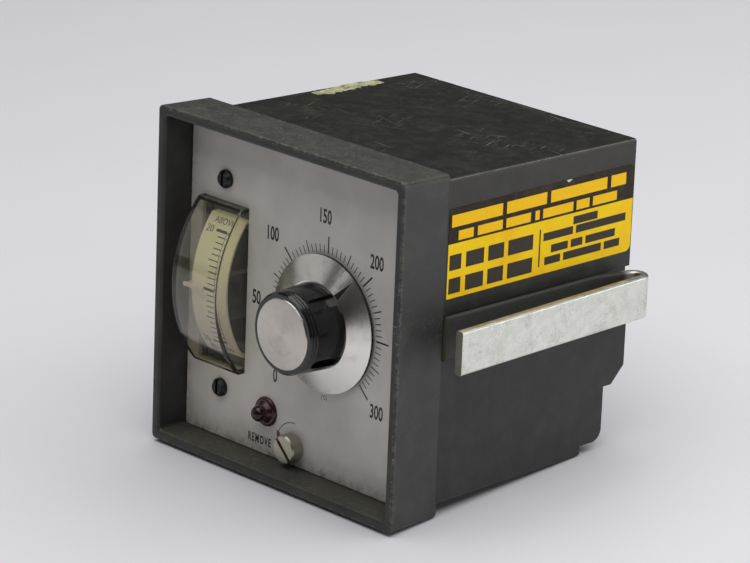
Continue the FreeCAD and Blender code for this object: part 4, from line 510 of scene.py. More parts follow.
@dataclass(frozen=True)
class FacePaint(Finish):
    """The satin grey front plate, with painted shade along its edges where the frame's walls shade it, darker
    towards its lower edge, and a few grime specks.
    """

    half: float
    rim_width: float = 3.2
    low_rise: float = 9.0
    colour: Colour = paint(209, 205, 199)
    shade: Colour = paint(197, 193, 186)
    grime_and_shade: Colour = paint(104, 98, 84)

    def draw(self, graph: ShaderGraph) -> None:
        """Shade the paint softly, paint shade towards the rim and darken it towards the bottom.

        Args:
            graph: The material's tree.
        """
        cloud = graph.noise(14.0, 4.0, 0.55)
        base = graph.mix(cloud.rise(0.3, 0.7), self.colour, self.shade)
        # Painted shade: darker towards the rim, where the frame's walls shade the plate, and darker towards
        # the bottom, broken up by noise.
        side = abs(graph.x).most(abs(graph.z))
        rim = side.rise(self.half - self.rim_width, self.half + 0.4)
        low = graph.z.rise(-self.half + self.low_rise, -self.half)
        dirt = graph.noise(2.4, 6.0, 0.65).rise(0.36, 0.72)
        base = graph.mix((rim * 0.5 + low * 0.3) * dirt, base, self.grime_and_shade)
        spots = graph.specks(0.45, 0.16) * graph.noise(8.0, 2.0).rise(0.45, 0.7)
        base = graph.mix(spots * 0.5, base, self.grime_and_shade)
        grain = graph.noise(0.22, 2.0)
        rough = 0.44 + (cloud - 0.5) * 0.14 + dirt * 0.05
        graph.surface(Base_Color=base, Roughness=rough, Normal=graph.bump(grain, 0.004))


@dataclass(frozen=True)
class Plated(Finish):
    """Plated or bare metal, mottled, stained and finely scratched."""

    colour: Colour
    stain: Colour
    roughness: float = 0.3
    stain_share: float = 0.35
    mottle_size: float = 2.4
    turn_deg: Point = (0.0, 0.0, 0.0)

    def layers(self, graph: ShaderGraph) -> tuple[Wire, Wire, Wire, Wire]:
        """Lay spangle, stains and scratches over the metal.

        Args:
            graph: The material's tree.

        Returns:
            The colour, metal, roughness and relief.
        """
        spangle = graph.noise(self.mottle_size, 5.0, 0.62)
        base = graph.mix(spangle.rise(0.3, 0.72), self.colour, dim(self.colour, 0.86))
        stain = graph.noise(self.mottle_size * 2.2, 6.0, 0.7).rise(0.46, 0.78) * self.stain_share
        base = graph.mix(stain, base, self.stain)
        lines = graph.scratches(6.0, 0.09, 0.8, self.turn_deg)
        base = graph.mix(lines * 0.35, base, self.stain)
        rough = self.roughness + (spangle - 0.5) * 0.22 + stain * 0.4 + lines * 0.1
        grain = graph.noise(0.5, 3.0) + lines * 0.6
        return base, 1.0 - stain * 0.7, rough, grain

    def draw(self, graph: ShaderGraph) -> None:
        """Shade the plated metal."""
        base, metal, rough, grain = self.layers(graph)
        graph.surface(Base_Color=base, Metallic=metal, Roughness=rough, Normal=graph.bump(grain, 0.008))


@dataclass(frozen=True, kw_only=True)
class ClipPlate(Plated):
    """A clip's zinc plate: chalky and stained outside, near black on the leg that rides in the case, with
    painted shade on its forward faces.
    """

    middle: float
    inner_reach: float
    turn_start: float
    black: Colour = paint(34, 33, 29)
    chalk: Colour = paint(206, 210, 196)
    crack_and_shade: Colour = paint(96, 94, 74)

    def draw(self, graph: ShaderGraph) -> None:
        """Add chalk, dark cracks, the near-black inner leg and painted shade on forward faces to the plate.

        Args:
            graph: The material's tree.
        """
        base, metal, rough, grain = self.layers(graph)
        chalk = graph.noise(3.4, 6.0, 0.7).rise(0.42, 0.70)
        base = graph.mix(chalk * 0.45, base, self.chalk)
        veins = abs(graph.noise(1.5, 5.0, 0.65) - 0.5).rise(0.022, 0.0)
        veins = veins * graph.noise(5.0, 3.0).rise(0.48, 0.62)
        base = graph.mix(veins * 0.5, base, self.crack_and_shade)
        # The inner leg that rides along the case is made near black, duller and less metallic.
        inner = abs(graph.x - self.middle).rise(self.inner_reach, self.inner_reach - 0.6)
        inner = inner * graph.y.rise(self.turn_start + 4.0, self.turn_start)
        base = graph.mix(inner * 0.96, base, self.black)
        # Painted shade: faces that look forward, such as the outer leg's front end, are darkened towards the
        # dark crack colour.
        front_face_shade = graph.facing(1).rise(-0.6, -0.9)
        base = graph.mix(front_face_shade * 0.85, base, self.crack_and_shade)
        metal = metal * (1.0 - chalk * 0.35) * (1.0 - inner * 0.8)
        rough = rough + chalk * 0.12 + veins * 0.2 + inner * 0.2
        relief = graph.bump(grain, 0.008, 0.2)
        graph.surface(Base_Color=base, Metallic=metal, Roughness=rough, Normal=relief)


@dataclass(frozen=True)
class SpunMetal(Finish):
    """Metal turned on a lathe: rings about the Y axis give bow-tie highlights, and painted shade may darken
    the rim.
    """

    centre: Flat
    colour: Colour
    stain: Colour
    tilt: float = 1.0
    roughness: float = 0.24
    groove_size: float = 0.02
    ring_size: float = 0.2
    # How strongly painted shade darkens the rim, in place of the shadow under the rim's edge.
    rim_shade_share: float = 0.0
    rim: Colour = paint(34, 31, 27)

    def turned(self, graph: ShaderGraph, radius: Wire, size: float, detail: float) -> Wire:
        """Add noise that changes only with the radius."""
        inputs = {"W": radius, "Scale": 1 / size, "Detail": detail}
        return graph.wire("ShaderNodeTexNoise", {"noise_dimensions": "1D"}, inputs)

    def draw(self, graph: ShaderGraph) -> None:
        """Tilt the surface to and fro along its radius, ring by ring.

        Args:
            graph: The material's tree.
        """
        across = graph.x - self.centre[0]
        along = graph.z - self.centre[1]
        radius = (across * across + along * along).root()
        grooves = self.turned(graph, radius, self.groove_size, 1.0)
        rings = self.turned(graph, radius, self.ring_size, 3.0)
        lean = ((grooves - 0.5) * self.tilt + (rings - 0.5) * 0.04) / radius.most(0.3)
        bend = graph.vector(across * lean, 0.0, along * lean)
        normal = graph.wire("ShaderNodeNewGeometry", {}, {}, "Normal")
        bent = graph.wire("ShaderNodeVectorMath", {"operation": "ADD"}, {0: normal, 1: bend})
        bent = graph.wire("ShaderNodeVectorMath", {"operation": "NORMALIZE"}, {0: bent})
        cloud = graph.noise(5.0, 5.0, 0.65).rise(0.45, 0.8)
        base = graph.mix(rings.rise(0.3, 0.7), self.colour, dim(self.colour, 0.95))
        base = graph.mix(cloud * 0.25, base, self.stain)
        # Painted shade: surfaces that face neither way along Y, such as the skirt's outer rim, are darkened
        # towards the rim colour, in place of the shadow under the skirt's edge.
        edge = abs(graph.facing(1)).rise(0.5, 0.2)
        base = graph.mix(edge * self.rim_shade_share, base, self.rim)
        rough = self.roughness + cloud * 0.1 + (rings - 0.5) * 0.06
        graph.surface(Base_Color=base, Metallic=1.0, Roughness=rough, Normal=bent)


@dataclass(frozen=True)
class ClearPlastic(Finish):
    """Clear plastic, tinted by age and darker where it is seen edge on; lamps shine through it."""

    tint: Colour
    clearness: float = 0.97
    bending: float = 1.49
    soaked: Colour = (0.62, 0.55, 0.25)
    soak: float = 0.0

    def draw(self, graph: ShaderGraph) -> None:
        """Mix the clear body with a tinted gap that only shadows see.

        Args:
            graph: The material's tree.
        """
        smudge = graph.noise(4.0, 5.0, 0.6).rise(0.4, 0.8)
        inputs = {
            "Base Color": graph.mix(smudge * 0.4, self.tint, dim(self.tint, 0.9)),
            "Roughness": 0.02 + smudge * 0.05,
            "IOR": self.bending,
            "Transmission Weight": self.clearness,
        }
        body = graph.node("ShaderNodeBsdfPrincipled", None, inputs)
        gap = graph.node("ShaderNodeBsdfTransparent", None, {"Color": self.tint})
        shadow = graph.wire("ShaderNodeLightPath", {}, {}, "Is Shadow Ray")
        both = graph.node("ShaderNodeMixShader", None, {0: shadow, 1: body, 2: gap})
        ends = {"Surface": both}
        if self.soak:
            depth = {"Color": self.soaked, "Density": self.soak}
            ends["Volume"] = graph.node("ShaderNodeVolumeAbsorption", None, depth)
        graph.node("ShaderNodeOutputMaterial", None, ends)


@dataclass(frozen=True)
class RedLens(Finish):
    """The dark red lamp lens: glossy, deep and a little smeared."""

    foot: Flat = (-10.2, -8.8)
    nub: Colour = paint(38, 14, 14)
    flange: Colour = paint(58, 22, 21)
    smear: Colour = paint(84, 52, 46)

    def draw(self, graph: ShaderGraph) -> None:
        """Shade from a nearly black nub to a dark red flange.

        Args:
            graph: The material's tree.
        """
        cloud = graph.noise(1.6, 4.0)
        base = graph.mix(graph.y.rise(*self.foot), self.nub, self.flange)
        base = graph.mix(cloud.rise(0.5, 0.8) * 0.25, base, self.smear)
        graph.surface(Base_Color=base, Roughness=0.12 + cloud * 0.2, IOR=1.5)


@dataclass(frozen=True)
class KnobPlastic(Finish):
    """The glossy black knob body, with worn ribs and fine scratches."""

    colour: Colour = paint(24, 24, 25)
    worn: Colour = paint(66, 66, 64)

    def draw(self, graph: ShaderGraph) -> None:
        """Keep the gloss and break it with fine smears.

        Args:
            graph: The material's tree.
        """
        smear = graph.noise(3.0, 5.0, 0.6)
        fine = graph.noise(0.6, 3.0)
        lines = graph.scratches(4.0, 0.1, 0.7, (0.0, 0.0, 15.0))
        base = graph.mix(smear.rise(0.55, 0.85) * 0.3, self.colour, self.worn)
        base = graph.mix(lines * 0.25, base, self.worn)
        rough = 0.10 + smear.rise(0.4, 0.8) * 0.12 + lines * 0.1
        relief = graph.bump(fine, 0.006)
        gloss = {"Coat_Weight": 0.15, "Coat_Roughness": 0.05}
        graph.surface(Base_Color=base, Roughness=rough, Normal=relief, **gloss)


@dataclass(frozen=True)
class ScaleEnamel(Finish):
    """The meter's cream scale, yellowed most towards its top."""

    centre_z: float
    half: float
    cream: Colour = paint(224, 217, 208)
    yellow: Colour = paint(220, 219, 182)
    brown: Colour = paint(170, 158, 104)

    def draw(self, graph: ShaderGraph) -> None:
        """Fade the yellow from top to bottom and stain it lightly.

        Args:
            graph: The material's tree.
        """
        height = (graph.z - self.centre_z) / self.half
        cloud = graph.noise(5.0, 4.0)
        base = graph.mix((height + (cloud - 0.5) * 0.5).rise(-0.55, 0.65), self.cream, self.yellow)
        base = graph.mix(graph.noise(1.2, 5.0, 0.7).rise(0.6, 0.85) * 0.3, base, self.brown)
        relief = graph.bump(graph.noise(0.4), 0.004)
        graph.surface(Base_Color=base, Roughness=0.42 + cloud * 0.12, Normal=relief)


@dataclass(frozen=True)
class LabelPaper(Finish):
    """The side label: a yellow field under a dark band, on glossy paper."""

    band_low: float
    tear: Flat
    fibre: Colour = paint(214, 214, 198)
    yellow: Colour = paint(255, 214, 4)
    deep: Colour = paint(252, 196, 4)
    band: Colour = paint(40, 34, 24)
    band_worn: Colour = paint(66, 57, 40)

    def draw(self, graph: ShaderGraph) -> None:
        """Split the fields by height and roughen the line between them.

        Args:
            graph: The material's tree.
        """
        cloud = graph.noise(9.0, 5.0, 0.6)
        field = graph.mix(cloud.rise(0.4, 0.75), self.yellow, self.deep)
        band = graph.mix(graph.noise(4.0, 6.0, 0.7).rise(0.42, 0.75), self.band, self.band_worn)
        line = (graph.z + (graph.noise(0.7, 3.0) - 0.5) * 0.12).rise(self.band_low, self.band_low + 0.08)
        base = graph.mix(line, field, band)
        dirt = graph.noise(0.8, 6.0, 0.7).rise(0.58, 0.80)
        base = graph.mix(dirt * 0.22, base, self.band_worn)
        across, above = graph.y - self.tear[0], graph.z - self.tear[1]
        away = (across * across * 0.3 + above * above).root()
        torn = (away + (graph.noise(0.9, 4.0) - 0.5) * 0.9).rise(0.62, 0.5)
        base = graph.mix(torn, base, self.fibre)
        wave = graph.noise(7.0, 2.0) + graph.noise(1.2, 3.0) * 0.12
        rough = 0.34 + cloud * 0.14
        relief = graph.bump(wave, 0.22)
        graph.surface(Base_Color=base, Roughness=rough, Specular_IOR_Level=0.16, Normal=relief)


@dataclass(frozen=True)
class Ink(Finish):
    """Printed ink, slightly worn and uneven."""

    colour: Colour
    thin: Colour
    sheen: float = 0.5

    def draw(self, graph: ShaderGraph) -> None:
        """Let a little of the ground show through.

        Args:
            graph: The material's tree.
        """
        wear = graph.noise(0.5, 4.0, 0.7).rise(0.52, 0.85)
        base = graph.mix(wear * 0.5, self.colour, self.thin)
        graph.surface(Base_Color=base, Roughness=0.42 + wear * 0.2, Specular_IOR_Level=self.sheen)


@dataclass(frozen=True)
class TornPaper(Finish):
    """What is left of a paper sticker: pale fibres over old glue."""

    pale: Colour = paint(178, 180, 140)
    glue: Colour = paint(104, 104, 74)

    def draw(self, graph: ShaderGraph) -> None:
        """Mix pale paper with glue in fibrous patches.

        Args:
            graph: The material's tree.
        """
        fibre = graph.noise(1.0, 6.0, 0.75, graph.stretched((0.7, 0.25, 0.7), (0.0, 0.0, 20.0)))
        base = graph.mix(fibre.rise(0.34, 0.62), self.glue, self.pale)
        graph.surface(Base_Color=base, Roughness=0.7 + fibre * 0.2, Normal=graph.bump(fibre, 0.05))


@dataclass(frozen=True)
class Laminate(Finish):
    """A circuit board: brown laminate with tinned tracks on its soldered face."""

    soldered_face: float
    board: Colour = paint(126, 92, 44)
    dark: Colour = paint(104, 74, 34)
    track: Colour = paint(178, 166, 128)
    pitch: float = BOARD_PITCH
    track_run: float = 17.0
    lane_shift: float = 0.37

    def draw(self, graph: ShaderGraph) -> None:
        """Lay straight tracks in broken runs on a grid.

        Args:
            graph: The material's tree.
        """
        cloth = graph.noise(1.0, 3.0, 0.5, graph.stretched((1.6, 0.5, 1.0)))
        base = graph.mix(cloth.rise(0.35, 0.7), self.board, self.dark)
        across = graph.x / self.pitch
        lane = across.whole()
        along = graph.y / self.track_run + lane * self.lane_shift
        spot = {"Vector": graph.vector(lane, along.whole(), 0.0)}
        chance = graph.wire("ShaderNodeTexWhiteNoise", {"noise_dimensions": "2D"}, spot)
        inside = abs(across % 1.0 - 0.5).below(0.22)
        gaps = (along % 1.0).below(0.86)
        lower = abs(graph.z - self.soldered_face).below(0.05)
        tracks = inside * gaps * chance.below(0.62) * lower
        base = graph.mix(tracks, base, self.track)
        rough = 0.5 - tracks * 0.2
        relief = graph.bump(tracks, 0.03)
        graph.surface(Base_Color=base, Roughness=rough, Metallic=tracks * 0.7, Normal=relief)


class Stripe(Enum):
    """Which way a banded finish's stripes are stacked."""

    ALONG_X = 0
    ALONG_Y = 1


@dataclass(frozen=True)
class Banded(Finish):
    """Stacked sheets, windings or wrapped tape: fine stripes with a groove between them."""

    stripe: Stripe
    pitch: float
    colour: Colour
    groove: Colour
    metallic: float = 0.0
    roughness: float = 0.45

    def draw(self, graph: ShaderGraph) -> None:
        """Repeat a rounded stripe and vary its shade.

        Args:
            graph: The material's tree.
        """
        along = (graph.x, graph.y)[self.stripe.value]
        across = abs((along / self.pitch + graph.noise(9.0, 2.0) * 0.3) % 1.0 - 0.5)
        ridge = across.rise(0.5, 0.25)
        stain = graph.noise(3.0, 5.0, 0.65).rise(0.45, 0.8)
        base = graph.mix(ridge, self.groove, self.colour)
        base = graph.mix(stain * 0.4, base, self.groove)
        rough = self.roughness + stain * 0.2
        relief = graph.bump(ridge, self.pitch * 0.16)
        graph.surface(Base_Color=base, Metallic=self.metallic, Roughness=rough, Normal=relief)


@dataclass(frozen=True)
class ColourBands(Finish):
    """Small resistors: tan bodies with three colour rings, and bright leads."""

    centre_y: float
    half: float
    body: Colour = paint(186, 152, 104)
    lead: Colour = paint(190, 190, 184)
    rings: tuple[Colour, ...] = (paint(120, 32, 22), paint(36, 32, 30), paint(176, 96, 28))
    ring_gap: float = 1.35
    ring_half: float = 0.36

    def draw(self, graph: ShaderGraph) -> None:
        """Paint rings at fixed places along each body.

        Args:
            graph: The material's tree.
        """
        along = graph.y - self.centre_y
        cloud = graph.noise(1.5, 4.0).rise(0.4, 0.8)
        base = graph.mix(cloud * 0.4, self.body, dim(self.body, 0.7))
        for place, ring in enumerate(self.rings):
            middle = (place - 1) * self.ring_gap
            base = graph.mix(abs(along - middle).below(self.ring_half), base, ring)
        bare = abs(along).rise(self.half - 0.1, self.half + 0.05)
        base = graph.mix(bare, base, self.lead)
        grain = graph.noise(0.5, 3.0)
        relief = graph.bump(grain, 0.006)
        graph.surface(Base_Color=base, Metallic=bare, Roughness=0.34 + grain * 0.1, Normal=relief)


@dataclass(frozen=True)
class SplitByHeight(Finish):
    """A part of two materials, one above the other, such as a can on a sleeve."""

    split: float
    lower: Colour
    upper: Colour
    lower_metal: float = 0.0
    upper_metal: float = 0.0
    roughness: float = 0.36

    def draw(self, graph: ShaderGraph) -> None:
        """Switch colour and metal at the split height.

        Args:
            graph: The material's tree.
        """
        cloud = graph.noise(2.0, 4.0, 0.6)
        above = graph.z.rise(self.split - 0.05, self.split + 0.05)
        base = graph.mix(above, self.lower, self.upper)
        base = graph.mix(cloud.rise(0.5, 0.8) * 0.35, base, dim(self.lower, 0.6))
        metal = self.lower_metal + above * (self.upper_metal - self.lower_metal)
        rough = self.roughness + cloud * 0.14
        relief = graph.bump(graph.noise(0.4, 3.0), 0.006)
        graph.surface(Base_Color=base, Metallic=metal, Roughness=rough, Normal=relief)


@dataclass(frozen=True)
class FloorPaper(Finish):
    """The plain pale floor."""

    colour: Colour = paint(225, 224, 228)
    shade: Colour = paint(219, 218, 223)

    def draw(self, graph: ShaderGraph) -> None:
        """Break the flat tone very slightly.

        Args:
            graph: The material's tree.
        """
        cloud = graph.noise(60.0, 3.0)
        base = graph.mix(cloud, self.colour, self.shade)
        graph.surface(Base_Color=base, Roughness=0.6 + cloud * 0.1)


@lru_cache(maxsize=None)
def box_of(node: str) -> tuple[Point, Point]:
    """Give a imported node's lowest and highest corners in millimetres.

    Args:
        node: The node's name.

    Returns:
        The two corners.
    """
    low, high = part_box(node)
    return tuple(c / MM for c in low), tuple(c / MM for c in high)


def link(obj: bpy.types.Object) -> None:
    """Put an object into the scene."""
    bpy.context.scene.collection.objects.link(obj)


def metres(place: Point) -> Vector:
    """Turn a place in millimetres into Blender's metres."""
    return Vector(place) * MM


def finished_mesh(name: str, shape: bmesh.types.BMesh) -> bpy.types.Mesh:
    """Turn a shape's faces outward and write it to a new mesh.

    Args:
        name: The mesh's name.
        shape: The shape, which is freed.

    Returns:
        The mesh.
    """
    bmesh.ops.recalc_face_normals(shape, faces=shape.faces)
    mesh = bpy.data.meshes.new(name)
    shape.to_mesh(mesh)
    shape.free()
    return mesh


def sheet_mesh(name: str, grids: Iterable[Grid], lay: Lay, depth: float) -> bpy.types.Mesh:
    """Lay thin closed sheets on a surface.

    Args:
        name: The mesh's name.
        grids: One grid of flat points for each sheet, in rows of equal length.
        lay: Gives the place of a flat point at a height above the surface.
        depth: How thick the sheets are in millimetres.

    Returns:
        The mesh.
    """
    shape = bmesh.new()
    for grid in grids:
        layers = []
        for height in (0.0, depth):
            layers.append([[shape.verts.new(metres(lay(u, v, height))) for u, v in row] for row in grid])
        rows, columns = len(grid), len(grid[0])
        for layer in layers:
            for i in range(rows - 1):
                for j in range(columns - 1):
                    shape.faces.new((layer[i][j], layer[i][j + 1], layer[i + 1][j + 1], layer[i + 1][j]))
        rim = [(0, j) for j in range(columns)] + [(i, columns - 1) for i in range(1, rows)]
        rim += [(rows - 1, j) for j in reversed(range(columns - 1))]
        rim += [(i, 0) for i in reversed(range(1, rows - 1))]
        low, high = layers
        for (i, j), (k, m) in zip(rim, rim[1:] + rim[:1]):
            shape.faces.new((low[i][j], low[k][m], high[k][m], high[i][j]))
    return finished_mesh(name, shape)


def evaluated_mesh(obj: bpy.types.Object) -> bpy.types.Mesh:
    """Turn a curve, text or modified object into a plain mesh and drop the object.

    Args:
        obj: The object, not yet in the scene.

    Returns:
        Its evaluated mesh.
    """
    link(obj)
    view = bpy.context.evaluated_depsgraph_get()
    mesh = bpy.data.meshes.new_from_object(obj.evaluated_get(view))
    bpy.data.objects.remove(obj)
    return mesh


@dataclass(frozen=True)
class Word:
    """A number or word that is printed flat, then laid on a surface."""

    text: str
    middle: Flat
    height: float
    narrow: float = 0.62
    weight: float = 0.012
    spacing: float = 1.0

    def add_to(self, shape: bmesh.types.BMesh, lay: Lay, depth: float) -> None:
        """Add the letters to a mesh.

        Args:
            shape: The mesh that collects them.
            lay: Gives the place of a flat point at a height above the surface.
            depth: How thick the ink is in millimetres.
        """
        curve = bpy.data.curves.new(self.text, "FONT")
        curve.body = self.text
        curve.align_x = "CENTER"
        curve.offset = self.weight
        curve.space_character = self.spacing
        curve.resolution_u = 3
        curve.extrude = 0.5
        letters = evaluated_mesh(bpy.data.objects.new(self.text, curve))
        heights = [point.co.y for point in letters.vertices]
        low, tall = min(heights), max(heights) - min(heights)
        scale = self.height / tall
        for point in letters.vertices:
            u = self.middle[0] + point.co.x * scale * self.narrow
            v = self.middle[1] + (point.co.y - low) * scale - self.height / 2
            point.co = metres(lay(u, v, (point.co.z + 0.5) * depth))
        shape.from_mesh(letters)
        bpy.data.meshes.remove(letters)


def words_mesh(name: str, words: Iterable[Word], lay: Lay, depth: float) -> bpy.types.Mesh:
    """Print several words into one mesh.

    Args:
        name: The mesh's name.
        words: What is printed.
        lay: Gives the place of a flat point at a height above the surface.
        depth: How thick the ink is in millimetres.

    Returns:
        The mesh.
    """
    shape = bmesh.new()
    for word in words:
        word.add_to(shape, lay, depth)
    bmesh.ops.remove_doubles(shape, verts=shape.verts, dist=0.002 * MM)
    return finished_mesh(name, shape)


class GeometryGraph(Graph):
    """A Geometry Nodes tree with named inputs."""

    def __init__(self, name: str) -> None:
        """Start a tree that makes its own geometry.

        Args:
            name: The tree's name.
        """
        super().__init__(bpy.data.node_groups.new(name, "GeometryNodeTree"))
        self.tree.interface.new_socket("Geometry", in_out="INPUT", socket_type="NodeSocketGeometry")
        self.tree.interface.new_socket("Geometry", in_out="OUTPUT", socket_type="NodeSocketGeometry")
        self.entry = self.node("NodeGroupInput")
        self.values: dict[str, Any] = {}

    def size(self, name: str, value: Any) -> Wire:
        """Add a named input.

        Args:
            name: What the input is called.
            value: A number, a whole number or a vector in millimetres.

        Returns:
            The input's wire.
        """
        kinds = {int: "NodeSocketInt", float: "NodeSocketFloat", tuple: "NodeSocketVector"}
        socket = self.tree.interface.new_socket(name, in_out="INPUT", socket_type=kinds[type(value)])
        self.values[socket.identifier] = value
        return Wire(self, self.entry.outputs[name])

    def mesh(self, points: Wire, instance: Wire, turn: Wire, scale: Wire, finish: Finish) -> bpy.types.Mesh:
        """Put an instance on every point and turn the result into a plain mesh in metres.

        Args:
            points: Where the instances go.
            instance: What is repeated.
            turn: The angle of each about the axes.
            scale: The size of each.
            finish: What they are made of.

        Returns:
            The mesh.
        """
        turned = self.wire("FunctionNodeEulerToRotation", {}, {0: turn})
        repeat = {"Points": points, "Instance": instance, "Rotation": turned, "Scale": scale}
        placed = self.wire("GeometryNodeInstanceOnPoints", {}, repeat)
        small = self.wire("GeometryNodeTransform", {}, {"Geometry": placed, "Scale": (MM, MM, MM)})
        real = self.wire("GeometryNodeRealizeInstances", {}, {0: small})
        coat = {"Geometry": real, "Material": material_of(finish)}
        coated = self.wire("GeometryNodeSetMaterial", {}, coat)
        self.node("NodeGroupOutput", None, {0: coated})
        holder = bpy.data.objects.new(self.tree.name, bpy.data.meshes.new(self.tree.name))
        modifier = holder.modifiers.new("repeat", "NODES")
        modifier.node_group = self.tree
        for identifier, value in self.values.items():
            modifier[identifier] = value
        return evaluated_mesh(holder)


class TickPath(Enum):
    """What a row of strokes follows."""

    DIAL = "rays about a dial's centre"
    DRUM = "bars along a curved scale"


@dataclass(frozen=True)
class TickRow:
    """Printed strokes at even angles, longer at every fifth and tenth."""

    name: str
    path: TickPath
    centre: Point
    radius: float
    count: int
    first_deg: float
    step_deg: float
    lengths: Point
    widths: Point
    depth: float = INK_DEPTH

    def mesh(self, finish: Finish) -> bpy.types.Mesh:
        """Repeat the strokes with Geometry Nodes.

        Args:
            finish: The ink.

        Returns:
            The strokes' mesh.
        """
        graph = GeometryGraph(self.name)
        centre = graph.size("Centre", self.centre)
        radius = graph.size("Radius", self.radius)
        count = graph.size("Count", self.count)
        first = graph.size("First angle", math.radians(self.first_deg))
        step = graph.size("Angle step", math.radians(self.step_deg))
        lengths = [graph.size(f"Length {place}", value) for place, value in enumerate(self.lengths)]
        widths = [graph.size(f"Width {place}", value) for place, value in enumerate(self.widths)]
        depth = graph.size("Depth", self.depth)
        index = graph.wire("GeometryNodeInputIndex", {}, {})
        angle = first + index * step
        fifth = (index % 5.0).below(0.5)
        tenth = (index % 10.0).below(0.5)
        length = lengths[0] + fifth * (lengths[1] - lengths[0]) + tenth * (lengths[2] - lengths[1])
        width = widths[0] + fifth * (widths[1] - widths[0]) + tenth * (widths[2] - widths[1])
        if self.path is TickPath.DIAL:
            reach = radius + length / 2.0
            place = graph.vector(reach * angle.sine(), 0.0, reach * angle.cosine())
            turn = graph.vector(0.0, angle, 0.0)
            scale = graph.vector(width, depth, length)
        else:
            place = graph.vector(length * -0.5, radius * angle.cosine() * -1.0, radius * angle.sine())
            turn = graph.vector(angle * -1.0, 0.0, 0.0)
            scale = graph.vector(length, depth, width)
        place = graph.wire("ShaderNodeVectorMath", {"operation": "ADD"}, {0: place, 1: centre})
        points = graph.wire("GeometryNodePoints", {}, {"Count": count, "Position": place})
        block = graph.wire("GeometryNodeMeshCube", {}, {"Size": (1.0, 1.0, 1.0)})
        return graph.mesh(points, block, turn, scale, finish)


@dataclass(frozen=True)
class SolderField:
    """Solder joints on a board's grid, kept at random places with a fixed seed."""

    name: str
    low: Point
    high: Point
    pitch: float = BOARD_PITCH
    radius: float = 0.85
    height: float = 0.75
    share: float = 0.3
    seed: int = 7

    def mesh(self, finish: Finish) -> bpy.types.Mesh:
        """Repeat a small dome over the board.

        Args:
            finish: The solder.

        Returns:
            The joints' mesh.
        """
        graph = GeometryGraph(self.name)
        spans = [(self.high[axis] - self.low[axis]) // self.pitch for axis in range(2)]
        middle = tuple((self.low[axis] + self.high[axis]) / 2 for axis in range(3))
        centre = graph.size("Middle of the face", middle)
        pitch = graph.size("Pitch", self.pitch)
        columns = graph.size("Columns", int(spans[0]))
        rows = graph.size("Rows", int(spans[1]))
        share = graph.size("Share", self.share)
        radius = graph.size("Radius", self.radius)
        height = graph.size("Height", self.height)
        seed = graph.size("Seed", self.seed)
        counts = {"Vertices X": columns, "Vertices Y": rows}
        sizes = {"Size X": (columns - 1.0) * pitch, "Size Y": (rows - 1.0) * pitch}
        grid = graph.wire("GeometryNodeMeshGrid", {}, {**sizes, **counts})
        grid = graph.wire("GeometryNodeTransform", {}, {"Geometry": grid, "Translation": centre})
        chance = {"Probability": share, "Seed": seed}
        keep = graph.wire("FunctionNodeRandomValue", {"data_type": "BOOLEAN"}, chance, 3)
        points = graph.wire("GeometryNodeMeshToPoints", {}, {"Mesh": grid, "Selection": keep})
        dome = graph.wire("GeometryNodeMeshUVSphere", {}, {"Segments": 8, "Rings": 5, "Radius": 1.0})
        scale = graph.vector(radius, radius, height)
        turn = graph.vector(0.0, 0.0, 0.0)
        return graph.mesh(points, dome, turn, scale, finish)


@dataclass
class SubAssembly:
    """A group of the object's pieces that is built and dressed together."""

    frame: dict[str, Any]

    def build(self) -> None:
        """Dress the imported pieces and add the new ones."""
        raise NotImplementedError

    def coat(self, finish: Finish, *nodes: str) -> None:
        """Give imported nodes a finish.

        Args:
            finish: What they are made of.
            nodes: Their names.
        """
        for node in nodes:
            for slot in self.frame["nodes"][node].material_slots:
                slot.material = material_of(finish)
            log.info("dressed %s with %s", node, finish.name)

    def add(self, name: str, mesh: bpy.types.Mesh, finish: Finish, body: str = "chassis") -> None:
        """Add a new piece that moves with a body.

        Args:
            name: The piece's name.
            mesh: Its mesh, in place.
            finish: What it is made of.
            body: The body that carries it.
        """
        mesh.materials.clear()
        mesh.materials.append(material_of(finish))
        piece = bpy.data.objects.new(name, mesh)
        link(piece)
        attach(piece, body)
        log.info("added %s on %s, %d faces", name, body, len(mesh.polygons))

    def add_sheets(
        self, name: str, grids: list[Grid], lay: Lay, finish: Finish, body: str = "chassis"
    ) -> None:
        """Add flat print, one sheet of ink for each grid."""
        self.add(name, sheet_mesh(name, grids, lay, INK_DEPTH), finish, body)

    def add_words(self, name: str, words: list[Word], lay: Lay, finish: Finish) -> None:
        """Add printed words to the chassis."""
        self.add(name, words_mesh(name, words, lay, INK_DEPTH), finish)


STEEL = Plated("plated screw steel", (0.62, 0.61, 0.58), paint(110, 104, 92), 0.32)
DULL_ZINC = Plated("dull zinc sheet", (0.60, 0.60, 0.58), paint(128, 124, 112), 0.42, 0.5, 4.0)
BRASS = Plated("aged brass", (0.72, 0.54, 0.27), paint(104, 78, 42), 0.34)
NICKEL = Plated("worn nickel", (0.70, 0.66, 0.58), paint(112, 98, 78), 0.26)
CORE_STEEL = Plated("magnet steel", (0.34, 0.34, 0.35), paint(70, 66, 60), 0.45)
BLACKENED = Plated("blackened screw steel", (0.05, 0.05, 0.052), paint(52, 46, 40), 0.38)
BLACK_INK = Ink("black print", paint(22, 22, 24), paint(92, 90, 86))
FAINT_INK = Ink("thin grey print", paint(70, 68, 64), paint(128, 125, 118))
SCALE_INK = Ink("scale print", paint(44, 44, 36), paint(120, 116, 84))
RED_INK = Ink("red print", paint(120, 56, 48), paint(150, 120, 112))
SOLDER = Plated("solder", (0.66, 0.66, 0.64), paint(120, 118, 110), 0.28, 0.3, 0.8)


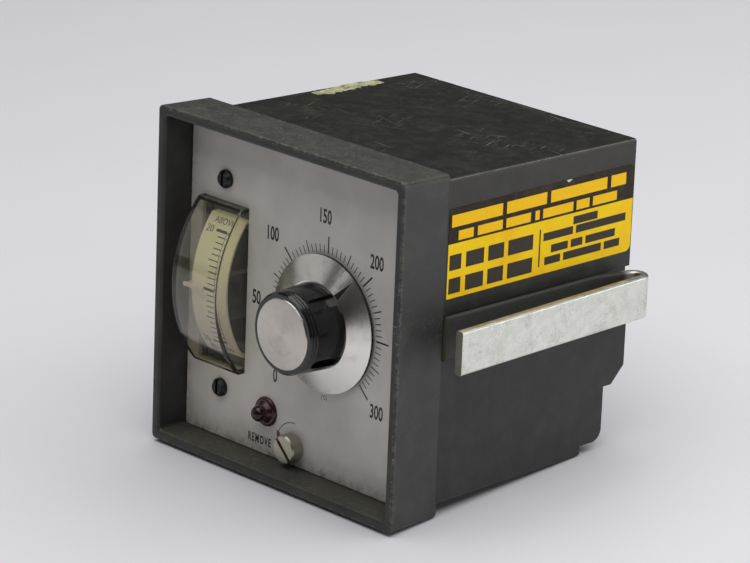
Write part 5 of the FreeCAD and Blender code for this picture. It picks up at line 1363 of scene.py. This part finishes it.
@dataclass
class Studio:
    """The pale floor, soft lamps and the camera."""

    eye: Point = (744.031, -708.182, 331.98)
    forward: Point = (-0.68106, 0.66720, -0.30166)
    rightward: Point = (0.69068, 0.72217, 0.03793)
    lens: float = 192.1
    sensor: float = 36.0
    floor_half: float = 8000.0
    floor_front: Flat = (0.0, -47.6)
    floor_rear: Flat = (56.1, -42.9)
    sky: float = 0.035
    lamps: tuple[tuple[str, Point, Flat, float], ...] = (
        ("ceiling soft lamp", (110.0, 0.0, 820.0), (1500.0, 1500.0), 14.2),
        ("front card", (-1030.0, -520.0, 330.0), (1200.0, 620.0), 0.95),
        ("front tube", (-330.0, -900.0, 400.0), (40.0, 320.0), 0.12),
        ("low side card", (900.0, 760.0, 130.0), (1200.0, 420.0), 4.2),
    )

    def build(self) -> None:
        """Set up the view, the floor and the light."""
        bpy.context.scene.view_settings.view_transform = "Standard"
        self.add_camera()
        self.add_floor()
        self.add_sky()
        for lamp in self.lamps:
            self.add_lamp(*lamp)

    def add_camera(self) -> None:
        """Stand the camera where the view was taken from."""
        camera = bpy.data.objects.new("view", bpy.data.cameras.new("view"))
        camera.data.lens = self.lens
        camera.data.sensor_width = self.sensor
        camera.data.sensor_fit = "HORIZONTAL"
        camera.data.clip_start = 10 * MM
        back = -Vector(self.forward).normalized()
        right = (Vector(self.rightward) - Vector(self.rightward).dot(back) * back).normalized()
        turn = Matrix((right, back.cross(right), back)).transposed().to_4x4()
        camera.matrix_world = Matrix.Translation(metres(self.eye)) @ turn
        link(camera)
        bpy.context.scene.camera = camera

    def add_floor(self) -> None:
        """Lay the floor under the front frame's edge and the case's lower rear."""
        (front_y, front_z), (rear_y, rear_z) = self.floor_front, self.floor_rear
        slope = (rear_z - front_z) / (rear_y - front_y)
        half = self.floor_half
        corners = [(-half, -half), (half, -half), (half, half), (-half, half)]
        places = [metres((x, y, front_z + (y - front_y) * slope)) for x, y in corners]
        mesh = bpy.data.meshes.new("floor")
        mesh.from_pydata(places, [], [(0, 1, 2, 3)])
        mesh.materials.append(material_of(FloorPaper("pale floor")))
        floor = bpy.data.objects.new("floor", mesh)
        link(floor)

    def add_sky(self) -> None:
        """Fill the room with even light."""
        world = bpy.data.worlds.new("room")
        world.use_nodes = True
        world.node_tree.nodes.clear()
        graph = Graph(world.node_tree)
        glow = graph.node("ShaderNodeBackground", None, {"Color": (1.0, 1.0, 1.0), "Strength": self.sky})
        graph.node("ShaderNodeOutputWorld", None, {"Surface": glow})
        bpy.context.scene.world = world

    def add_lamp(self, name: str, place: Point, size: Flat, watts: float) -> None:
        """Hang a rectangular lamp that faces the object.

        Args:
            name: The lamp's name.
            place: Where it hangs in millimetres.
            size: Its width and height in millimetres.
            watts: Its power.
        """
        data = bpy.data.lights.new(name, "AREA")
        data.shape = "RECTANGLE"
        data.size, data.size_y = size[0] * MM, size[1] * MM
        data.energy = watts
        lamp = bpy.data.objects.new(name, data)
        lamp.location = metres(place)
        lamp.rotation_euler = (-metres(place)).to_track_quat("-Z", "Y").to_euler()
        link(lamp)


@dataclass
class Housing(SubAssembly):
    """The case, front frame, rear terminals and side label."""

    taper: float = 1.2 / 72.8
    label_thickness: float = 0.12
    band_drop: float = 9.7
    tear_run: float = 46.0
    divider: Flat = (34.8, 0.5)
    divider_rise: Flat = (2.2, 12.6)
    tear_low: Flat = (-40.6, 31.0)
    tear_high: Flat = (-34.6, 56.5)
    tear_depth: float = 0.06
    tear_steps: int = 26
    tear_columns: int = 4
    tear_shake: float = 0.12
    seed: int = 11

    def build(self) -> None:
        """Dress the mouldings and add the label's print and the torn sticker."""
        self.dress()
        self.add_label_print()
        self.add_torn_sticker()

    def dress(self) -> None:
        """Give the housing's nodes their finishes."""
        low, high = box_of("front_bezel")
        _, case = box_of("case")
        self.coat(CaseMoulding("aged case moulding", case[2], case[0], self.taper), "case")
        self.coat(BezelMoulding("aged frame moulding", high[0], low[1]), "front_bezel")
        strip = Moulding("terminal moulding", paint(34, 33, 31), 0.5, 0.3, dust_share=0.3)
        self.coat(strip, "terminal_block")
        self.coat(Moulding("socket moulding", paint(44, 62, 54), 0.5), "connector_socket")
        self.coat(BRASS, "terminal_plates", "connector_contacts", "jack_nut")
        self.coat(STEEL, "terminal_screws")
        _, label = box_of("side_label")
        paper = LabelPaper("side label paper", label[2] - self.band_drop, (self.tear_run, label[2]))
        self.coat(paper, "side_label")

    def on_label(self, run: float, rise: float, lift: float) -> Point:
        """Give a place on the label's tapered face.

        Args:
            run: How far back from the label's front edge.
            rise: How far up from its lower edge.
            lift: How far proud of its face.

        Returns:
            The place in millimetres.
        """
        low, high = box_of("side_label")
        lean = (high[0] - low[0] - self.label_thickness) / (high[1] - low[1])
        return (high[0] - run * lean + lift, low[1] + run, low[2] + rise)

    def add_label_print(self) -> None:
        """Print plain bars where a label has its lines of words."""
        amber = Ink("amber bars", paint(255, 202, 6), paint(170, 130, 30), 0.16)
        dark = Ink("dark bars", paint(44, 36, 22), paint(120, 94, 26), 0.3)
        second = [(3.6, 9.2), (10.8, 20.2), (21.6, 31.0), (32.8, 34.4)]
        second += [(35.8, 47.6), (48.9, 54.0), (55.4, 65.0)]
        upper = [
            (21.1, 3.3, [(0.9, 20.0), (21.6, 37.0), (38.6, 60.8), (62.4, 68.4)]),
            (16.9, 2.6, second),
        ]
        numbers = [(0.6, 5.0), (6.8, 13.6), (15.2, 21.2), (22.8, 32.4)]
        lower = [
            (9.8, 4.2, numbers),
            (3.4, 4.2, numbers),
            (12.8, 2.2, [(48.0, 57.6)]),
            (10.2, 2.2, [(36.4, 48.0), (49.2, 69.0)]),
            (6.5, 2.2, [(39.6, 46.2), (47.4, 52.0), (53.2, 65.0)]),
            (3.4, 2.2, [(37.2, 43.4), (44.6, 59.6), (60.8, 67.0)]),
        ]
        bars = [bar for line in upper for bar in self.word_bars(*line)]
        self.add_sheets("label_upper_bars", bars, self.on_label, amber, "housing")
        start, width = self.divider
        bars = [bar for line in lower for bar in self.word_bars(*line)]
        bars.append([[(run, rise) for rise in self.divider_rise] for run in (start, start + width)])
        self.add_sheets("label_lower_bars", bars, self.on_label, dark, "housing")

    def word_bars(self, rise: float, height: float, spans: Sequence[Flat]) -> list[Grid]:
        """Make one line of bars, at a height above the label's lower edge."""
        ends = (rise - height / 2, rise + height / 2)
        return [[[(start, v) for v in ends], [(stop, v) for v in ends]] for start, stop in spans]

    def on_top(self, x: float, y: float, lift: float) -> Point:
        """Give a place on the case's tapered top."""
        _, high = box_of("case")
        return (x, y, high[2] - y * self.taper + CLEARANCE + lift)

    def add_torn_sticker(self) -> None:
        """Leave a ragged strip of old sticker near the top's left edge."""
        draw = random.Random(self.seed)
        (low_x, low_y), (high_x, high_y) = self.tear_low, self.tear_high
        columns, shake = self.tear_columns, self.tear_shake
        rows = []
        for step in range(self.tear_steps + 1):
            share = step / self.tear_steps
            y = low_y + share * (high_y - low_y)
            middle = (low_x + high_x) / 2 + 0.6 * math.sin(7.0 * share)
            half = (high_x - low_x) / 2 * math.sin(math.pi * (0.08 + 0.84 * share)) ** 0.5
            left = max(middle - half * draw.uniform(0.75, 1.15), low_x)
            right = middle + half * draw.uniform(0.55, 1.1)
            places = [left + (right - left) * part / columns for part in range(columns + 1)]
            rows.append([(x, y + draw.uniform(-shake, shake)) for x in places])
        mesh = sheet_mesh("torn_sticker", [rows], self.on_top, self.tear_depth)
        self.add("torn_sticker", mesh, TornPaper("torn sticker paper"), "housing")


@dataclass
class Clips(SubAssembly):
    """The two spring clips along the case's sides."""

    middle: float = 2.9
    inner_reach: float = 47.6
    turn_start: float = 66.0

    def build(self) -> None:
        """Dress the clips."""
        plate = ClipPlate(
            "chalky zinc plate",
            (0.80, 0.81, 0.76),
            paint(150, 146, 128),
            0.30,
            0.40,
            2.6,
            middle=self.middle,
            inner_reach=self.inner_reach,
            turn_start=self.turn_start,
        )
        self.coat(plate, "clip_right", "clip_left")


@dataclass
class Face(SubAssembly):
    """The grey plate with its dial print, lamp and jack screw."""

    dial: Flat = DIAL_CENTRE
    dial_radius: float = 19.4
    dial_strokes: int = 61
    dial_start_deg: float = -135.0
    dial_step_deg: float = 4.5
    stroke_lengths: Point = (2.2, 3.3, 4.7)
    stroke_widths: Point = (0.24, 0.32, 0.46)
    number_height: float = 4.1
    jack: Flat = (-0.8, -39.6)
    arc_radius: float = 6.7
    arc_width: float = 0.22
    arc_degs: range = range(-4, 69, 6)
    head_degs: Flat = (66.0, 86.0)
    head_halves: Flat = (0.9, 0.02)

    def build(self) -> None:
        """Dress the plate's parts and print the plate."""
        self.dress()
        self.add_dial_print()
        self.add_jack_print()

    def dress(self) -> None:
        """Give the plate and what stands on it their finishes."""
        _, high = box_of("faceplate")
        self.coat(FacePaint("satin grey plate", high[0]), "faceplate")
        self.coat(RedLens("dark red lens"), "lamp_lens")
        self.coat(Moulding("lamp holder moulding", paint(42, 40, 38)), "lamp_holder")
        self.coat(ClearPlastic("bulb glass", (0.93, 0.90, 0.82), 0.92, 1.5), "lamp_bulb")
        warm = SpunMetal("turned nickel", self.jack, (0.45, 0.425, 0.35), paint(104, 96, 72), 0.5, 0.28)
        self.coat(warm, "jack_screw")
        self.coat(STEEL, "jack_ring")

    def on_plate(self, x: float, z: float, lift: float) -> Point:
        """Give a place on the plate's front."""
        low, _ = box_of("faceplate")
        return (x, low[1] - lift, z)

    def add_dial_print(self) -> None:
        """Print the dial's strokes, numbers and unit."""
        ticks = TickRow(
            "dial_ticks",
            TickPath.DIAL,
            self.on_plate(*self.dial, INK_DEPTH / 2),
            self.dial_radius,
            self.dial_strokes,
            self.dial_start_deg,
            self.dial_step_deg,
            self.stroke_lengths,
            self.stroke_widths,
        )
        self.add("dial_ticks", ticks.mesh(BLACK_INK), BLACK_INK)
        places = {
            "0": (-9.0, -21.3),
            "50": (-17.4, -1.05),
            "100": (-11.8, 18.4),
            "150": (8.5, 28.1),
            "200": (28.8, 20.2),
            "250": (39.4, -1.05),
            "300": (30.7, -20.9),
        }
        numbers = [Word(text, place, self.number_height, weight=0.022) for text, place in places.items()]
        self.add_words("dial_numbers", numbers, self.on_plate, BLACK_INK)
        unit = Word("(°C)", (10.4, -22.4), 1.6, 0.8, 0.0)
        self.add_words("dial_unit", [unit], self.on_plate, FAINT_INK)

    def add_jack_print(self) -> None:
        """Print the plain word, the turning arc and its arrowhead by the jack screw."""
        word = Word("REMOVE", (-14.5, -41.3), 2.55, 0.6, 0.028, 1.3)
        self.add_words("jack_word", [word], self.on_plate, BLACK_INK)
        arc = [self.round_jack(angle, self.arc_width / 2) for angle in self.arc_degs]
        self.add_sheets("jack_arc", [arc], self.on_plate, BLACK_INK)
        head = [self.round_jack(angle, half) for angle, half in zip(self.head_degs, self.head_halves)]
        self.add_sheets("jack_arrow", [head], self.on_plate, RED_INK)

    def round_jack(self, angle_deg: float, half: float) -> list[Flat]:
        """Give the inner and outer point of the arc at an angle.

        Args:
            angle_deg: The angle about the jack screw, anticlockwise from the top.
            half: How far the points are from the arc's middle.

        Returns:
            The two points on the plate.
        """
        angle = math.radians(angle_deg)
        across, up = math.sin(angle), math.cos(angle)
        radii = (self.arc_radius - half, self.arc_radius + half)
        return [(self.jack[0] - radius * across, self.jack[1] + radius * up) for radius in radii]


@dataclass
class Meter(SubAssembly):
    """The deviation meter behind its bowed clear cover."""

    pivot: Flat = (17.6, -0.7)
    strokes_right: float = -26.9
    strokes_end_deg: float = 30.0
    stroke_count: int = 21
    stroke_lengths: Point = (2.9, 3.8, 4.2)
    stroke_widths: Point = (0.30, 0.30, 0.80)
    edge_width: float = 0.16
    edge_steps: int = 20
    number_aside: float = 6.8
    number_height: float = 2.0
    word_aside: float = 2.6
    word_beyond: float = 2.8
    word_height: float = 1.8
    word_narrow: float = 0.95

    def build(self) -> None:
        """Dress the meter and print its scale."""
        self.dress()
        self.add_scale_print()

    def dress(self) -> None:
        """Give the meter's nodes their finishes."""
        low, high = box_of("meter_scale")
        half = (high[2] - low[2]) / 2
        clear = ClearPlastic("yellowed clear cover", (0.99, 0.985, 0.965), 0.98, soak=170.0)
        self.coat(clear, "meter_cover")
        self.coat(ScaleEnamel("yellowed scale", self.pivot[1], half), "meter_scale")
        self.coat(Moulding("meter moulding", paint(92, 88, 76), 0.5), "meter_frame")
        self.coat(BLACKENED, "meter_screws")
        self.coat(CORE_STEEL, "meter_magnet", "meter_core")
        self.coat(BRASS, "meter_strap", "meter_bearings")
        self.coat(Moulding("pointer paint", paint(206, 196, 190), 0.4, 0.12), "pointer_arm")
        wire, gap = paint(156, 84, 48), paint(92, 44, 24)
        self.coat(Banded("fine copper winding", Stripe.ALONG_X, 0.3, wire, gap, 0.5), "pointer_coil")
        self.coat(STEEL, "pointer_pivots")

    def drum_radius(self) -> float:
        """Give the scale's distance from the pivot."""
        return self.pivot[0] - box_of("meter_scale")[0][1]

    def on_scale(self, x: float, run: float, lift: float) -> Point:
        """Give a place on the curved scale.

        Args:
            x: The place along the axis.
            run: How far up along the curve from its middle.
            lift: How far proud of the scale.

        Returns:
            The place in millimetres.
        """
        angle = run / self.drum_radius()
        radius = self.drum_radius() + lift
        return (x, self.pivot[0] - radius * math.cos(angle), self.pivot[1] + radius * math.sin(angle))

    def add_scale_print(self) -> None:
        """Print the scale's strokes, end numbers, edge line and words."""
        right, last, steps = self.strokes_right, self.strokes_end_deg, self.edge_steps
        ticks = TickRow(
            "scale_ticks",
            TickPath.DRUM,
            (right, *self.pivot),
            self.drum_radius() + INK_DEPTH / 2,
            self.stroke_count,
            -last,
            2 * last / (self.stroke_count - 1),
            self.stroke_lengths,
            self.stroke_widths,
        )
        self.add("scale_ticks", ticks.mesh(SCALE_INK), SCALE_INK)
        end = math.radians(last) * self.drum_radius()
        sides = (right, right + self.edge_width)
        edge = [[(x, end * part / steps) for x in sides] for part in range(-steps, steps + 1)]
        self.add_sheets("scale_edge", [edge], self.on_scale, SCALE_INK)
        aside, rise = right - self.number_aside, self.number_height
        words = [Word("20", (aside, run), rise, 1.0, 0.0) for run in (end, -end)]
        aside, rise, beyond = right - self.word_aside, self.word_height, end + self.word_beyond
        for text, run in (("ABOVE", beyond), ("BELOW", -beyond)):
            words.append(Word(text, (aside, run), rise, self.word_narrow, 0.0))
        self.add_words("scale_words", words, self.on_scale, SCALE_INK)


@dataclass
class Knob(SubAssembly):
    """The setpoint knob: black body, spun cap and spun skirt with its arrow."""

    centre: Flat = DIAL_CENTRE
    pointing_deg: float = 38.0
    cone_inner: Flat = (12.4, -11.2)
    cone_outer: Flat = (19.1, -8.5)
    arrow_tip: float = 18.1
    arrow_base: float = 12.6
    arrow_half_deg: float = 3.9
    arrow_end_deg: float = 0.06
    arrow_steps: int = 12

    def build(self) -> None:
        """Dress the knob and print its arrow."""
        self.coat(KnobPlastic("glossy black knob"), "knob_shell")
        dull, bright, stain = (0.60, 0.565, 0.515), (0.83, 0.80, 0.755), paint(128, 122, 110)
        self.coat(SpunMetal("spun cap", self.centre, dull, stain, 1.5, 0.22), "knob_cap")
        # Painted shade darkens the skirt's rim.
        skirt = SpunMetal("spun skirt", self.centre, bright, stain, 0.6, 0.2, rim_shade_share=0.9)
        self.coat(skirt, "knob_skirt")
        self.coat(STEEL, "knob_set_screw", "pot_shaft")
        self.add_arrow()

    def on_cone(self, radius: float, angle_deg: float, lift: float) -> Point:
        """Give a place on the skirt's sloping front.

        Args:
            radius: The distance from the knob's axis.
            angle_deg: The angle clockwise from the top.
            lift: How far proud of the skirt.

        Returns:
            The place in millimetres.
        """
        (inner, inner_y), (outer, outer_y) = self.cone_inner, self.cone_outer
        y = inner_y + (radius - inner) / (outer - inner) * (outer_y - inner_y)
        angle = math.radians(angle_deg)
        return (
            self.centre[0] + radius * math.sin(angle),
            y - CLEARANCE - lift,
            self.centre[1] + radius * math.cos(angle),
        )

    def add_arrow(self) -> None:
        """Print a long black arrow on the skirt."""
        rows = []
        for step in range(self.arrow_steps + 1):
            share = step / self.arrow_steps
            radius = self.arrow_base + share * (self.arrow_tip - self.arrow_base)
            half = self.arrow_half_deg * (1 - share) * self.arrow_base / radius + self.arrow_end_deg
            rows.append([(radius, self.pointing_deg + half * side) for side in (-1.0, -0.5, 0.0, 0.5, 1.0)])
        self.add_sheets("skirt_arrow", [rows], self.on_cone, BLACK_INK, "setpoint_knob")


@dataclass
class Chassis(SubAssembly):
    """The slide-out inside: frame, boards and their parts."""

    can_top: float = 0.6
    resistor_half: float = 3.5
    power_seed: int = 19

    def build(self) -> None:
        """Dress the inside and solder the boards."""
        self.coat(DULL_ZINC, "chassis_frame")
        self.dress_boards()
        self.dress_power_parts()
        self.dress_control_parts()
        self.dress_pot()
        self.add_solder()

    def dress_boards(self) -> None:
        """Give boards, posts and screws their finishes."""
        _, top = box_of("control_board")
        under, _ = box_of("power_board")
        self.coat(Laminate("control board laminate", top[2]), "control_board")
        self.coat(Laminate("power board laminate", under[2]), "power_board")
        self.coat(BRASS, "board_posts")
        self.coat(STEEL, "board_screws")

    def dress_power_parts(self) -> None:
        """Give the power board's parts their finishes."""
        iron = Banded("stacked core sheets", Stripe.ALONG_Y, 0.5, paint(86, 82, 78), paint(42, 38, 36), 0.5)
        tape = Banded("winding tape", Stripe.ALONG_Y, 6.5, paint(196, 164, 84), paint(150, 118, 52))
        self.coat(iron, "transformer_core")
        self.coat(tape, "transformer_coil")
        self.coat(Moulding("relay moulding", paint(40, 40, 44)), "relay_base")
        self.coat(ClearPlastic("relay cover", (0.90, 0.91, 0.90), 0.92), "relay_cover")
        _, top = box_of("filter_capacitors")
        sleeve, can, split = paint(36, 62, 104), (0.7, 0.7, 0.7), top[2] - self.can_top
        self.coat(SplitByHeight("capacitor sleeve", split, sleeve, can, 0.0, 1.0), "filter_capacitors")

    def dress_control_parts(self) -> None:
        """Give the control board's parts their finishes."""
        low, high = box_of("board_resistors")
        bands = ColourBands("banded resistors", (low[1] + high[1]) / 2, self.resistor_half)
        self.coat(bands, "board_resistors")
        self.coat(Moulding("trimmer moulding", paint(40, 74, 128), 0.4), "board_trimmers")
        self.coat(Moulding("chip epoxy", paint(36, 36, 38), 0.55), "board_chips")
        self.coat(STEEL, "board_transistors")

    def dress_pot(self) -> None:
        """Give the setting pot's parts their finishes."""
        self.coat(DULL_ZINC, "pot_body")
        self.coat(BRASS, "pot_bush", "pot_terminals")
        self.coat(NICKEL, "pot_nut")
        self.coat(STEEL, "pot_washer")

    def add_solder(self) -> None:
        """Dot solder joints over each board's outer face."""
        low, high = box_of("control_board")
        face = SolderField("control_solder", (low[0], low[1], high[2]), high)
        self.add("control_solder", face.mesh(SOLDER), SOLDER)
        low, high = box_of("power_board")
        face = SolderField("power_solder", low, (high[0], high[1], low[2]), seed=self.power_seed)
        self.add("power_solder", face.mesh(SOLDER), SOLDER)


def main() -> None:
    """Build every sub-assembly on the frame."""
    logging.basicConfig(level=logging.INFO, format="%(name)s: %(message)s")
    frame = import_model()
    Studio().build()
    for part in (Housing(frame), Clips(frame), Face(frame), Meter(frame), Knob(frame), Chassis(frame)):
        log.info("building %s", type(part).__name__)
        part.build()


if __name__ == "__main__":
    main()
